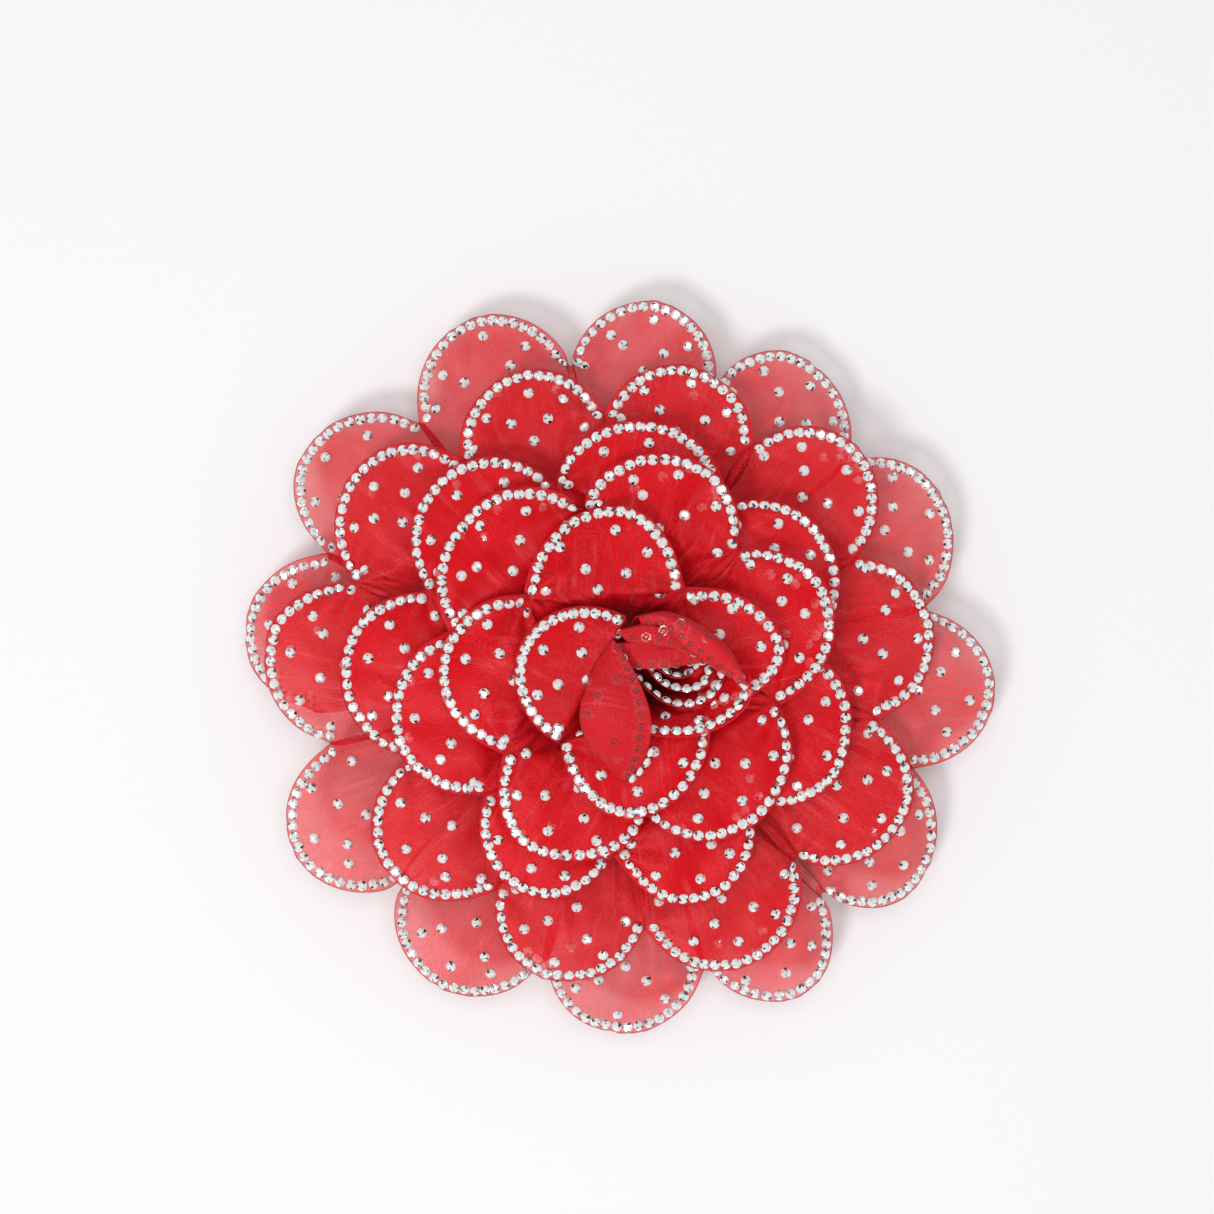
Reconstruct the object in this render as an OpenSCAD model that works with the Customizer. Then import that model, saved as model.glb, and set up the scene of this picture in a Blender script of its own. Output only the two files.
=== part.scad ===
// Rhinestone flower hair clip.
// A scalloped organza ribbon is gathered along one edge and wound clockwise, outside to inside,
// into five turns of petals round a rolled bud.  It is sewn to a disc, backed with felt, and
// carried by a steel alligator clip.  Z is up through the flower, and the clip rests on z = 0.

/* [Ribbon] */
// How far a scallop reaches out beyond the line between its two notches
lobe_reach = 15.6; // [12:0.1:18]
// Thickness of the stiffened ribbon
ribbon_t = 0.5; // [0.3:0.05:0.7]
// How much the middle of a petal arches above its notches
petal_arch = 1.8; // [0:0.1:2.5]
// How much the tip of a petal curls down again
tip_droop = 2.2; // [0:0.1:3]
// Length of the ribbon from its gathered foot to the line of the notches
throat_l = 24; // [20:0.5:28]
// Grid steps across each petal
steps_across = 8; // [6:2:10]
// Grid steps from the gathered foot to the scalloped edge
steps_out = 6; // [5:1:8]

/* [Rhinestones] */
// Diameter of one crystal
stone_d = 2; // [1.6:0.1:2.2]
// Height of one crystal
stone_h = 0.8; // [0.5:0.1:1]
// Crystals along the scalloped edge of one petal
edge_stones = 20; // [14:1:21]
// Distance from the ribbon's edge to the middle of the row of crystals
edge_margin = 1.4; // [1.2:0.1:2]

/* [Bud] */
// Radius of the rolled bud at its foot
bud_foot_r = 4.2; // [3.5:0.1:4.5]
// Radius of the rolled bud at its rim
bud_rim_r = 12; // [10:0.5:13]
// Height of the bud's rim above the table
bud_top = 50; // [47:0.5:52]

/* [Backing] */
// Radius of the felt disc
felt_r = 32; // [30:1:34]
// Thickness of the felt
felt_t = 1.6; // [1:0.1:1.6]
// Radius of the disc that the ribbon is sewn to
disc_r = 36; // [34:0.5:36]
// Thickness of the sewing disc
disc_t = 0.8; // [0.5:0.1:0.8]
// Stitches round the rim of the felt
rim_stitches = 40; // [24:2:48]

/* [Clip] */
// Width of the upper jaw, which the flower is glued to
jaw_w = 12; // [11:0.5:14]
// Thickness of the steel
steel_t = 0.8; // [0.7:0.05:0.9]
// Distance from the middle of the clip to the front of its jaws
nose_x = 28.5; // [27:0.5:31]
// Distance from the middle of the clip to the end of its handle
tail_x = 27.2; // [26:0.2:30]
// Height of the upper jaw's underside above the table
upper_z = 9.4; // [9.2:0.1:10]
// Diameter of the hinge pin
pin_d = 2; // [1.8:0.1:2]
// Height of the hinge pin above the table
pin_z = 6.4; // [6.3:0.1:6.5]
// Turns of the torsion spring
spring_turns = 5; // [3:1:6]
// Diameter of the spring wire
wire_d = 0.7; // [0.6:0.05:0.7]

/* [Hidden] */
$fn = 48;

// Each notch of the ribbon: its angle, winding clockwise, and its distance from the winding axis.
notches = [
    [188, 61.5], [159, 62], [129, 62.5], [99, 61.5], [71, 60.5], [42, 60.5], [11, 61.5],
    [-19, 61.5], [-48, 61.5], [-74, 61.5], [-104, 60], [-135, 61], [-165, 58.5],
    [-198, 54.5], [-233, 51], [-267, 49.5], [-301, 51], [-335, 51.5], [-371, 51],
    [-407, 51.5], [-444, 51], [-479, 49.5], [-517, 44.5],
    [-562, 40], [-611, 38], [-663, 37.5], [-715, 37], [-765, 36.5], [-811, 35.5], [-857, 35],
    [-913, 32.5], [-977, 32], [-1035, 32.5], [-1092, 31], [-1159, 29], [-1224, 26.5],
    [-1299, 22.5], [-1389, 19.5], [-1465, 19], [-1570, 18]];
// The notch at which each turn starts, and the last one.
turn_start = [0, 12, 22, 29, 35, 39];
// Height of the notches, and the radius and height of the gathered foot, against the notch number.
notch_heights = [[0, 11.6], [10, 12.6], [11, 14.4], [12, 17.2], [13, 19.8], [21, 21.2], [22, 25],
    [23, 27.6], [28, 28.8], [29, 31.6], [30, 33.6], [34, 34.6], [35, 36.4], [36, 38.2], [39, 40.2]];
foot_radii = [[0, 35.5], [12, 30.5], [22, 22.5], [29, 16.5], [35, 11], [39, 7.6]];
foot_heights = [[0, 14.2], [12, 14.4], [22, 14.8], [29, 15.3], [35, 15.8], [39, 16.4]];

// The bud's outer petal, which crosses from the last notch to the top of the bud.
bud_notches = [[-11.6, -13.8, 41.6], [1.4, 10.4, 43.4]];
bud_foot = [2.4, -1];
bud_foot_z = 17;
bud_petal_foot_r = 5.6;
bud_lean = [6.4, -3.4];

// Where the loose crystals sit on each petal: across it, and out from the line of the notches.
loose_stones = [[0.05, 10.8], [-0.53, 7.7], [0.56, 6.8], [-0.27, 5.2], [0.27, 4.1], [-0.03, 0.7],
    [-0.8, 1.2], [0.75, -1.1]];
stone_gap = 0.1;

felt_z = upper_z + steel_t;
disc_z = felt_z + felt_t;
thread_d = 0.5;
stitch_l = 2.4;
pin_x = -9;
lever_w = jaw_w - 2 * steel_t - 0.4;
bow_x = 8;
nose_z = 7.2;
bow_r = (pow(nose_x - bow_x, 2) + pow(nose_z, 2)) / (2 * nose_z);
bow_start_x = -6;
bow_start_z = bow_r - sqrt(pow(bow_r, 2) - pow(bow_start_x - bow_x, 2));
tooth_h = 1.1;
running_gap = 0.05;

// ---- the ribbon's surface ----

function mix(a, b, t) = a * (1 - t) + b * t;
function flat(p) = [p[0], p[1]];
function polar(a, r) = [r * cos(a), r * sin(a)];
function turned(v) = [-v[1], v[0]];

// A notch as a point, and the gathered foot under a place along the ribbon.
function notch(k) = concat(polar(notches[k][0], notches[k][1]), lookup(k, notch_heights));
function foot(k, u) =
    concat(polar(mix(notches[k][0], notches[k + 1][0], u), lookup(k + u, foot_radii)),
        lookup(k + u, foot_heights));

// One petal between notches a and b: the outline is half an ellipse on the line between them.
// From its foot f the ribbon rises and bends outward as a quarter of an ellipse, up to that line,
// and from there it runs out flat to the outline, arched in the middle and drooping at the tip.
// u runs along the ribbon from notch to notch, and v across it from the foot to the edge.
function petal_point(a, b, f, u, v) =
    let (half = flat(b - a) / 2,
        out = turned(half) / norm(half),
        reach = lobe_reach * sin(180 * u),
        along = v * (throat_l + reach),
        bend = 90 * min(1, along / throat_l),
        past = max(0, along - throat_l),
        brim = flat(a + b) / 2 - half * cos(180 * u),
        z = mix(f[2], mix(a[2], b[2], u), sin(bend)) + petal_arch * sin(180 * u) * pow(bend / 90, 2)
            - tip_droop * pow(past / lobe_reach, 2))
    concat(mix(flat(f), brim, 1 - cos(bend)) + out * past, z);

// The place [u, v] of a point on a petal: a across it, from -1 to 1, and b out from its notches.
function seat(a, b) =
    let (u = acos(-a) / 180)
    [u, (throat_l + b) / (throat_l + lobe_reach * sin(180 * u))];

function ribbon_point(k, u, v) = petal_point(notch(k), notch(k + 1), foot(k, u), u, v);

// The bud's outer petal has its own foot, an arc on the left of the bud.
bud_from = atan2(bud_notches[0][1] - bud_foot[1], bud_notches[0][0] - bud_foot[0]);
bud_to = atan2(bud_notches[1][1] - bud_foot[1], bud_notches[1][0] - bud_foot[0]) - 360;
function bud_point(u, v) =
    petal_point(bud_notches[0], bud_notches[1],
        concat(bud_foot + polar(mix(bud_from, bud_to, u), bud_petal_foot_r), bud_foot_z), u, v);

// A point on turn i, where s counts petals from the start of the turn, or on the bud's petal.
function turn_point(s, v) =
    let (k = max(0, min(turn_start[5] - 1, floor(s))))
    ribbon_point(k, s - k, v);
function place(i, s, v) = i < 5 ? turn_point(turn_start[i] + s, v) : bud_point(s, v);
function petals_in(i) = i < 5 ? turn_start[i + 1] - turn_start[i] : 1;

// The upward normal at a place, from its neighbours on both sides.
function upward(i, s, v) =
    let (d = 0.02,
        first = i < 5 ? -turn_start[i] : 0,
        last = i < 5 ? turn_start[5] - turn_start[i] : 1,
        along = place(i, min(last, s + d), v) - place(i, max(first, s - d), v),
        across = place(i, s, min(1, v + d)) - place(i, s, max(0, v - d)),
        n = cross(along, across))
    n / norm(n);

// The flower's middle in plan, measured over the outer turn's edge.
rim = [for (s = [0 : 1 / steps_across : petals_in(0)]) place(0, s, 1)];
rim_x = [for (p = rim) p[0]];
rim_y = [for (p = rim) p[1]];
axis_shift = -[max(rim_x) + min(rim_x), max(rim_y) + min(rim_y), 0] / 2;

// A closed sheet: the grid of points above and the same grid one thickness below.
module sheet(above, below) {
    rows = len(above);
    cols = len(above[0]);
    all = rows * cols;
    function at(i, j) = i * cols + j;
    polyhedron(
        points = [for (side = [above, below]) for (row = side) for (p = row) p],
        faces = concat(
            [for (i = [0 : rows - 2]) for (j = [0 : cols - 2])
                each [[at(i, j), at(i, j + 1), at(i + 1, j + 1)],
                    [at(i, j), at(i + 1, j + 1), at(i + 1, j)]]],
            [for (i = [0 : rows - 2]) for (j = [0 : cols - 2])
                each [[all + at(i, j), all + at(i + 1, j + 1), all + at(i, j + 1)],
                    [all + at(i, j), all + at(i + 1, j), all + at(i + 1, j + 1)]]],
            [for (i = [0 : rows - 2]) each
                [[at(i, 0), at(i + 1, 0), all + at(i + 1, 0)],
                    [at(i, 0), all + at(i + 1, 0), all + at(i, 0)],
                    [at(i + 1, cols - 1), at(i, cols - 1), all + at(i, cols - 1)],
                    [at(i + 1, cols - 1), all + at(i, cols - 1), all + at(i + 1, cols - 1)]]],
            [for (j = [0 : cols - 2]) each
                [[at(0, j + 1), at(0, j), all + at(0, j)],
                    [at(0, j + 1), all + at(0, j), all + at(0, j + 1)],
                    [at(rows - 1, j), at(rows - 1, j + 1), all + at(rows - 1, j + 1)],
                    [at(rows - 1, j), all + at(rows - 1, j + 1), all + at(rows - 1, j)]]]));
}

module petals(i) {
    ss = [for (n = [0 : petals_in(i) * steps_across]) n / steps_across];
    vs = [for (m = [0 : steps_out]) m / steps_out];
    above = [for (s = ss) [for (v = vs) place(i, s, v)]];
    below = [for (s = ss) [for (v = vs) place(i, s, v) - ribbon_t * upward(i, s, v)]];
    color([0.78, 0.06, 0.12, 0.9]) translate(axis_shift) sheet(above, below);
}

// ---- crystals ----

module crystal(p, n) {
    translate(p + n * stone_gap)
        rotate([0, acos(n[2]), atan2(n[1], n[0])])
            cylinder(d = stone_d, h = stone_h, $fn = 6);
}

module crystals(i) {
    color("whitesmoke") translate(axis_shift)
        for (petal = [0 : petals_in(i) - 1]) {
            for (n = [0 : edge_stones - 1]) {
                turn = 180 * (n + 0.5) / edge_stones;
                inset = 1 - edge_margin / lobe_reach;
                seated_crystal(i, petal, seat(-inset * cos(turn), inset * lobe_reach * sin(turn)));
            }
            for (stone = loose_stones)
                seated_crystal(i, petal, seat(stone[0], stone[1]));
        }
}

module seated_crystal(i, petal, uv) {
    crystal(place(i, petal + uv[0], uv[1]), upward(i, petal + uv[0], uv[1]));
}

// ---- the bud ----

// The bud is a rolled goblet whose middle leans away from the axis as it rises.
function bud_middle(t) = [bud_foot[0] + bud_lean[0] * t * t, bud_foot[1] + bud_lean[1] * t * t];
function bud_radius(t) = mix(bud_foot_r, bud_rim_r, pow(t, 4));
function bud_ring(t, inset) =
    [for (a = [0 : 15 : 345])
        concat(bud_middle(t) + polar(a, bud_radius(t) - inset), mix(bud_foot_z, bud_top, t))];

// A stack of rings joined into one solid, closed by its first and last ring or into a wall.
module stack(rings, hollow) {
    sides = len(rings[0]);
    last = len(rings) - 1;
    polyhedron(
        points = [for (ring = rings) each ring],
        faces = concat(
            [for (r = [0 : last - 1]) for (i = [0 : sides - 1])
                let (j = (i + 1) % sides)
                each [[r * sides + i, (r + 1) * sides + j, r * sides + j],
                    [r * sides + i, (r + 1) * sides + i, (r + 1) * sides + j]]],
            hollow
                ? [for (i = [0 : sides - 1])
                    let (j = (i + 1) % sides)
                    each [[last * sides + i, j, last * sides + j], [last * sides + i, i, j]]]
                : [[for (i = [0 : sides - 1]) i], [for (i = [sides - 1 : -1 : 0]) last * sides + i]]));
}

bud_wall = 0.6;
bud_levels = [0 : 0.1 : 1];

module bud_wrap() {
    outside = [for (t = bud_levels) bud_ring(t, 0)];
    inside = [for (t = bud_levels) bud_ring(1 - t, bud_wall)];
    color([0.82, 0.1, 0.16]) translate(axis_shift) stack(concat(outside, inside), true);
}

module bud_core() {
    color([0.72, 0.04, 0.1]) translate(axis_shift)
        stack([for (t = [0 : 0.1 : 0.9]) bud_ring(t, bud_wall + 0.3)], false);
}

module bud_crystals() {
    crystals(5);
    ring = bud_ring(1, bud_wall / 2);
    color("whitesmoke") translate(axis_shift)
        for (p = ring) crystal(p, [0, 0, 1]);
}

// ---- the backing ----

module felt_backing() {
    color("firebrick") translate([0, 0, felt_z]) cylinder(r = felt_r, h = felt_t, $fn = 96);
}

module sewing_disc() {
    color("darkred") translate([0, 0, disc_z]) cylinder(r = disc_r, h = disc_t, $fn = 96);
}

module backing_stitches() {
    color("maroon")
        for (i = [0 : rim_stitches - 1])
            rotate(i * 360 / rim_stitches)
                translate([felt_r - 0.2 - stitch_l, 0, felt_z - thread_d / 2 - 0.02])
                    rotate([0, 90, 0]) cylinder(d = thread_d, h = stitch_l, $fn = 8);
}

module gathering_stitches() {
    color("maroon") translate(axis_shift)
        for (k = [0 : 38]) {
            p = foot(k, 0.5);
            a = atan2(p[1], p[0]);
            translate([p[0], p[1], disc_z + disc_t + thread_d / 2 + 0.02] - concat(polar(a, 1.2), 0))
                rotate([90, 0, a]) cylinder(d = thread_d, h = stitch_l, center = true, $fn = 8);
        }
}

// ---- the clip ----

module upright(w) {
    rotate([90, 0, 0]) linear_extrude(w, center = true) children();
}

module ears(gap_w, bore, reach_z) {
    for (side = [-1, 1])
        translate([0, side * (gap_w - steel_t) / 2, 0])
            upright(steel_t)
                difference() {
                    union() {
                        translate([pin_x, pin_z]) circle(r = 2.2);
                        translate([pin_x - 2.2, min(pin_z, reach_z)])
                            square([4.4, abs(reach_z - pin_z)]);
                    }
                    translate([pin_x, pin_z]) circle(d = bore);
                }
}

module teeth(count, base_z, height) {
    for (i = [0 : count - 1])
        translate([nose_x - steel_t, 2 * i - count + 1, base_z])
            rotate([90, 0, 90])
                linear_extrude(steel_t) polygon([[-0.9, 0], [0.9, 0], [0, height]]);
}

module clip_fixed_jaw() {
    color("silver") {
        translate([-tail_x, -jaw_w / 2, upper_z])
            cube([nose_x + tail_x, jaw_w, steel_t]);
        ears(jaw_w, pin_d + 2 * 0.02, upper_z + 0.1);
        teeth(5, upper_z + 0.02, -tooth_h);
    }
}

module clip_lever_jaw() {
    color("silver") {
        upright(lever_w)
            intersection() {
                difference() {
                    translate([bow_x, bow_r]) circle(r = bow_r, $fn = 192);
                    translate([bow_x, bow_r]) circle(r = bow_r - steel_t, $fn = 192);
                }
                translate([bow_start_x, 0]) square([nose_x - bow_start_x, nose_z + steel_t]);
            }
        upright(lever_w)
            polygon([[bow_start_x + 0.1, bow_start_z], [pin_x - 3, bow_start_z - 0.2], [-tail_x, 0],
                [-tail_x, steel_t], [pin_x - 3, bow_start_z + steel_t - 0.1],
                [bow_start_x + 0.1, bow_start_z + steel_t - 0.1]]);
        ears(lever_w, pin_d + 2 * running_gap, bow_start_z + 0.1);
        teeth(4, nose_z + 0.4, tooth_h);
    }
}

module hinge_pin() {
    color("gainsboro") translate([pin_x, 0, pin_z]) rotate([90, 0, 0]) {
        cylinder(d = pin_d, h = jaw_w + 1, center = true);
        for (side = [-1, 1])
            translate([0, 0, side * (jaw_w / 2 + 0.35)]) cylinder(d = 3.4, h = 0.5, center = true);
    }
}

// The spring's wire as points: a leg along the upper jaw, the coil, and a leg along the handle.
coil_r = 1.65;
coil_w = spring_turns * (wire_d + 0.15);
function coil_point(t) =
    [pin_x + coil_r * sin(360 * t), coil_w * (t / spring_turns - 0.5), pin_z + coil_r * cos(360 * t)];
spring_path = concat(
    [[pin_x - 11, -coil_w / 2, pin_z + coil_r + 0.7], [pin_x - 4, -coil_w / 2, pin_z + coil_r + 0.2]],
    [for (t = [0 : 1 / 12 : spring_turns - 0.5]) coil_point(t)],
    [[pin_x - 4, coil_w / 2 - 0.4, pin_z - coil_r - 0.1], [pin_x - 9, coil_w / 2 - 0.4, pin_z - coil_r - 1.1]]);

// A round wire along a path, with a ring of points square to the path at each of its points.
function ring_at(path, i, r) =
    let (d = path[min(i + 1, len(path) - 1)] - path[max(i - 1, 0)],
        t = d / norm(d),
        a = cross(t, [0, 1, 0]),
        side = a / norm(a),
        other = cross(t, side))
    [for (q = [0 : 60 : 300]) path[i] + r * (cos(q) * side + sin(q) * other)];

module torsion_spring() {
    color("dimgray")
        stack([for (i = [0 : len(spring_path) - 1]) ring_at(spring_path, i, wire_d / 2)], false);
}

module glue_beads() {
    color("ivory")
        for (side = [-1, 1])
            translate([-20, side * (jaw_w / 2 + 0.8), felt_z - 0.02])
                rotate([0, 90, 0])
                    difference() {
                        cylinder(d = 1.5, h = 42, $fn = 12);
                        translate([-1.5, -1, -1]) cube([1.5, 2, 44]);
                    }
}

clip_fixed_jaw();
clip_lever_jaw();
hinge_pin();
torsion_spring();
glue_beads();
felt_backing();
backing_stitches();
sewing_disc();
gathering_stitches();
petals(0);  // petal_turn_1
petals(1);  // petal_turn_2
petals(2);  // petal_turn_3
petals(3);  // petal_turn_4
petals(4);  // petal_turn_5
petals(5);  // bud_outer_petal
bud_wrap();
bud_core();
crystals(0);  // rhinestones_turn_1
crystals(1);  // rhinestones_turn_2
crystals(2);  // rhinestones_turn_3
crystals(3);  // rhinestones_turn_4
crystals(4);  // rhinestones_turn_5
bud_crystals();  // rhinestones_bud
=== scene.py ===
# %% [markdown]
# # Rhinestone flower hair clip
# A big red rose of stiff organza is sewn on a round base, with an alligator clip glued behind it.
# All its petals are one long ribbon. Its outer edge is cut in scallops, its inner edge is gathered
# on a thread, and it is wound in a spiral from the outside in. Each scallop is a petal, rimmed with
# hot-fixed crystals. The lengths below are millimetres, and only the mesh builder turns them into
# metres. The imported CAD model is loaded first, and every new piece but the spring rides on one of
# its bodies.

import bmesh
import bpy
import numpy as np
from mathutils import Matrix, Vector


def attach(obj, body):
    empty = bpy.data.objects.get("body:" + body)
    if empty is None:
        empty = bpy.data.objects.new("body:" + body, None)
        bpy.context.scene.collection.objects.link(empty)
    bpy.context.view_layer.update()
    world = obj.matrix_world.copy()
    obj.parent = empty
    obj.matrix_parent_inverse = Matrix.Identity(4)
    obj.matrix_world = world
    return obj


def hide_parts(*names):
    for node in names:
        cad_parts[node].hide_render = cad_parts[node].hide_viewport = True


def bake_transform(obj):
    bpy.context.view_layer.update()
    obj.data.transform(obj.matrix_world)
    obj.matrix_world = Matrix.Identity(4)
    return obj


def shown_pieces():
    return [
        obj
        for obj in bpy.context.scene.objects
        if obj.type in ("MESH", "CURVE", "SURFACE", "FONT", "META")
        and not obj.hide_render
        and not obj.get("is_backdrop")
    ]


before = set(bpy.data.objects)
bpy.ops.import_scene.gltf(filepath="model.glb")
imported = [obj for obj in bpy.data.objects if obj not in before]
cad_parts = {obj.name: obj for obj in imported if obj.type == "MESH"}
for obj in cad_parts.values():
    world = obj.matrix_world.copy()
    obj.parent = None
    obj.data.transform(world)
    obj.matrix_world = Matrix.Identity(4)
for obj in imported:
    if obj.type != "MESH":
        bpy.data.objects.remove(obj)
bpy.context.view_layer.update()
MM = 0.001
FULL_TURN = 2 * np.pi
rng = np.random.default_rng(24)

# %% [markdown]
# ## Camera, floor and light
# The clip lies on its back and is looked at straight from above, a little to one side of its middle.
# A long lens from half a metre keeps the high bud only slightly bigger than the outer petals.
# The light is a soft lamp from the lower left, which gives the short soft shadows to the upper right
# and the shine of the satin, and a wide lamp overhead that fills them. A petal that lies flat would
# mirror a bright ceiling into the lens as a white veil and lose its red, so the wide lamp isn't seen
# by mirror rays, and the dome is darker straight overhead. It is darker near the horizon as well,
# so a facet that leans finds something darker to mirror than its neighbour does. A small lamp from
# the upper right is seen only by mirror rays: it puts glints on the satin and on the crystals.

# %% Camera
scene = bpy.context.scene
camera = bpy.data.objects.new("camera", bpy.data.cameras.new("camera"))
scene.collection.objects.link(camera)
CAMERA_AT, SENSOR, LENS = (-2.17, 12.02, 510.0), 36.0, 73.1
camera.location = Vector(CAMERA_AT) * MM
camera.data.sensor_width, camera.data.lens = SENSOR, LENS
camera.data.clip_start, camera.data.clip_end = 0.01, 20.0
scene.camera = camera
scene.view_settings.view_transform = "Standard"
print("camera at", tuple(round(x, 4) for x in camera.location), "lens", camera.data.lens)


# %% Small helpers for node trees
def put(tree, node, sockets):
    """Values or links put into a node's own sockets, each found by its name."""
    for name, value in sockets.items():
        if isinstance(value, bpy.types.NodeSocket):
            tree.links.new(value, node.inputs[name])
        else:
            node.inputs[name].default_value = value


def add(tree, kind, sockets=None, **settings):
    """One node of a kind, with its settings and its sockets filled."""
    node = tree.nodes.new(kind)
    for name, value in settings.items():
        setattr(node, name, value)
    put(tree, node, sockets or {})
    return node


def sums(tree, operation, *values):
    """A Math node's result for values that are numbers or sockets."""
    return add(tree, "ShaderNodeMath", dict(enumerate(values)), operation=operation).outputs[0]


def ramp(tree, value, *stops):
    """A colour ramp's result: each stop is (place, colour)."""
    node = add(tree, "ShaderNodeValToRGB", {"Fac": value})
    while len(node.color_ramp.elements) < len(stops):
        node.color_ramp.elements.new(1)
    for element, (place, colour) in zip(node.color_ramp.elements, stops):
        element.position = place
        element.color = (*colour, 1)
    return node.outputs[0]


def blended(tree, share, a, b, how="MIX"):
    """Colour a turning into colour b as share goes from 0 to 1."""
    return add(tree, "ShaderNodeMix", {0: share, 6: a, 7: b}, data_type="RGBA", blend_type=how).outputs[2]


print("node helpers ready")


# %% Helpers for patterns and materials
def mapped(tree, value, low, high, to_low=0.0, to_high=1.0):
    """A value moved in a straight line from the range low to high into to_low to to_high, and held
    at its ends."""
    ends = {"From Min": low, "From Max": high, "To Min": to_low, "To Max": to_high}
    return add(tree, "ShaderNodeMapRange", {"Value": value, **ends}).outputs[0]


def stretched(tree, place, across, along, up=1.0):
    """A place vector with each part multiplied by its own number, so a pattern on it is drawn out
    where the number is small."""
    return add(tree, "ShaderNodeVectorMath", {0: place, 1: (across, along, up)},
               operation="MULTIPLY").outputs[0]


def noise(tree, place, scale, detail, roughness=0.5):
    """Cloudy noise from 0 to 1 at a place."""
    values = {"Vector": place, "Scale": scale, "Detail": detail, "Roughness": roughness}
    return add(tree, "ShaderNodeTexNoise", values).outputs["Fac"]


def new_material(name):
    """A material with a tree that holds only a Principled BSDF and the output."""
    material = bpy.data.materials.new(name)
    material.use_nodes = True
    tree = material.node_tree
    tree.nodes.clear()
    shader = add(tree, "ShaderNodeBsdfPrincipled")
    add(tree, "ShaderNodeOutputMaterial", {"Surface": shader.outputs[0]})
    return material, tree, shader


print("material helpers ready")


# %% Floor
PAPER_WHITE = (0.84, 0.84, 0.852, 1)


def stage_floor(half=2.5):
    """A flat square sheet at z = 0, half metres to each side. It shows only its upper side, so the
    back of the clip can be looked at too."""
    mesh = bpy.data.meshes.new("floor")
    mesh.from_pydata([(-half, -half, 0), (half, -half, 0), (half, half, 0), (-half, half, 0)], [],
                     [(0, 1, 2, 3)])
    material, tree, shader = new_material("pale paper")
    place = add(tree, "ShaderNodeTexCoord").outputs["Object"]
    mottle = noise(tree, place, 900.0, 3.0)
    put(tree, shader, {"Base Color": PAPER_WHITE, "Specular IOR Level": 0.2,
                       "Roughness": sums(tree, "MULTIPLY_ADD", mottle, 0.1, 0.75)})
    clear = add(tree, "ShaderNodeBsdfTransparent").outputs[0]
    behind = add(tree, "ShaderNodeNewGeometry").outputs["Backfacing"]
    one_sided = add(tree, "ShaderNodeMixShader", {0: behind, 1: shader.outputs[0], 2: clear})
    put(tree, tree.nodes["Material Output"], {"Surface": one_sided.outputs[0]})
    mesh.materials.append(material)
    floor = bpy.data.objects.new("floor", mesh)
    scene.collection.objects.link(floor)
    floor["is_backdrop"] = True
    return floor


floor = stage_floor()
print("floor is", tuple(round(x, 2) for x in floor.dimensions), "m")


# %% Light
def lamp(name, place, size, power):
    """A square area light at place that faces the origin."""
    data = bpy.data.lights.new(name, "AREA")
    data.size, data.energy = size, power
    light = bpy.data.objects.new(name, data)
    scene.collection.objects.link(light)
    light.location = place
    light.rotation_euler = (-Vector(place)).to_track_quat("-Z", "Y").to_euler()
    return light


lamp("lower_left_softbox", (-0.42, -0.52, 1.25), 0.30, 8.2)
lamp("wide_overhead_softbox", (0.0, 0.1, 1.5), 0.9, 11.8).visible_glossy = False
lamp("upper_right_strip", (0.50, 0.42, 1.1), 0.22, 4.2).visible_diffuse = False

# %% Dome
DOME_GREYS = [(0.0, (0.5, 0.5, 0.51)), (0.45, (0.95, 0.95, 0.95)), (0.8, (0.75, 0.75, 0.75)),
              (0.93, (0.2, 0.2, 0.21)), (1.0, (0.12, 0.12, 0.13))]
DOME_STRENGTH = 0.47
world = bpy.data.worlds.new("soft studio")
scene.world = world
world.use_nodes = True
sky = world.node_tree
sky.nodes.clear()
up = add(sky, "ShaderNodeSeparateXYZ",
         {0: add(sky, "ShaderNodeTexCoord").outputs["Generated"]}).outputs["Z"]
dome = ramp(sky, sums(sky, "ABSOLUTE", up), *DOME_GREYS)
glow = add(sky, "ShaderNodeBackground", {"Color": dome, "Strength": DOME_STRENGTH})
add(sky, "ShaderNodeOutputWorld", {"Surface": glow.outputs[0]})
print(f"dome: {len(DOME_GREYS)} greys from the horizon to straight overhead")

# %% [markdown]
# ## Building meshes from arrays
# A shape here is a table of points worked out by numpy: rows by columns for a surface, or a shape
# copied to many places. Blender could be told of each vertex in a loop, but `foreach_set` copies a
# whole array at once, and the shape stays a formula that can be read.


# %% Mesh builders
def build(name, points, corners, counts, material, smooth=True):
    """An object from points in mm, the corner numbers of all faces in a row, and each face's count
    of corners."""
    mesh = bpy.data.meshes.new(name)
    mesh.vertices.add(len(points))
    mesh.vertices.foreach_set("co", (np.asarray(points, float) * MM).astype(np.float32).ravel())
    mesh.loops.add(len(corners))
    mesh.loops.foreach_set("vertex_index", np.asarray(corners, np.int32))
    mesh.polygons.add(len(counts))
    mesh.polygons.foreach_set("loop_start", np.concatenate([[0], np.cumsum(counts)[:-1]]).astype(np.int32))
    mesh.polygons.foreach_set("use_smooth", np.full(len(counts), smooth))
    mesh.update(calc_edges=True)
    mesh.validate()
    mesh.materials.append(material)
    piece = bpy.data.objects.new(name, mesh)
    scene.collection.objects.link(piece)
    return piece


def grid_corners(rows, cols, round_rows=False, round_cols=False):
    """Corner numbers of the cells of a grid of points: each cell joins a point, the next row's, and
    their next columns'."""
    at = np.arange(rows * cols).reshape(rows, cols)
    if round_rows:
        at = np.vstack([at, at[:1]])
    if round_cols:
        at = np.hstack([at, at[:, :1]])
    return np.stack([at[:-1, :-1], at[1:, :-1], at[1:, 1:], at[:-1, 1:]], -1).reshape(-1, 4)


print("grids and meshes ready")


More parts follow.
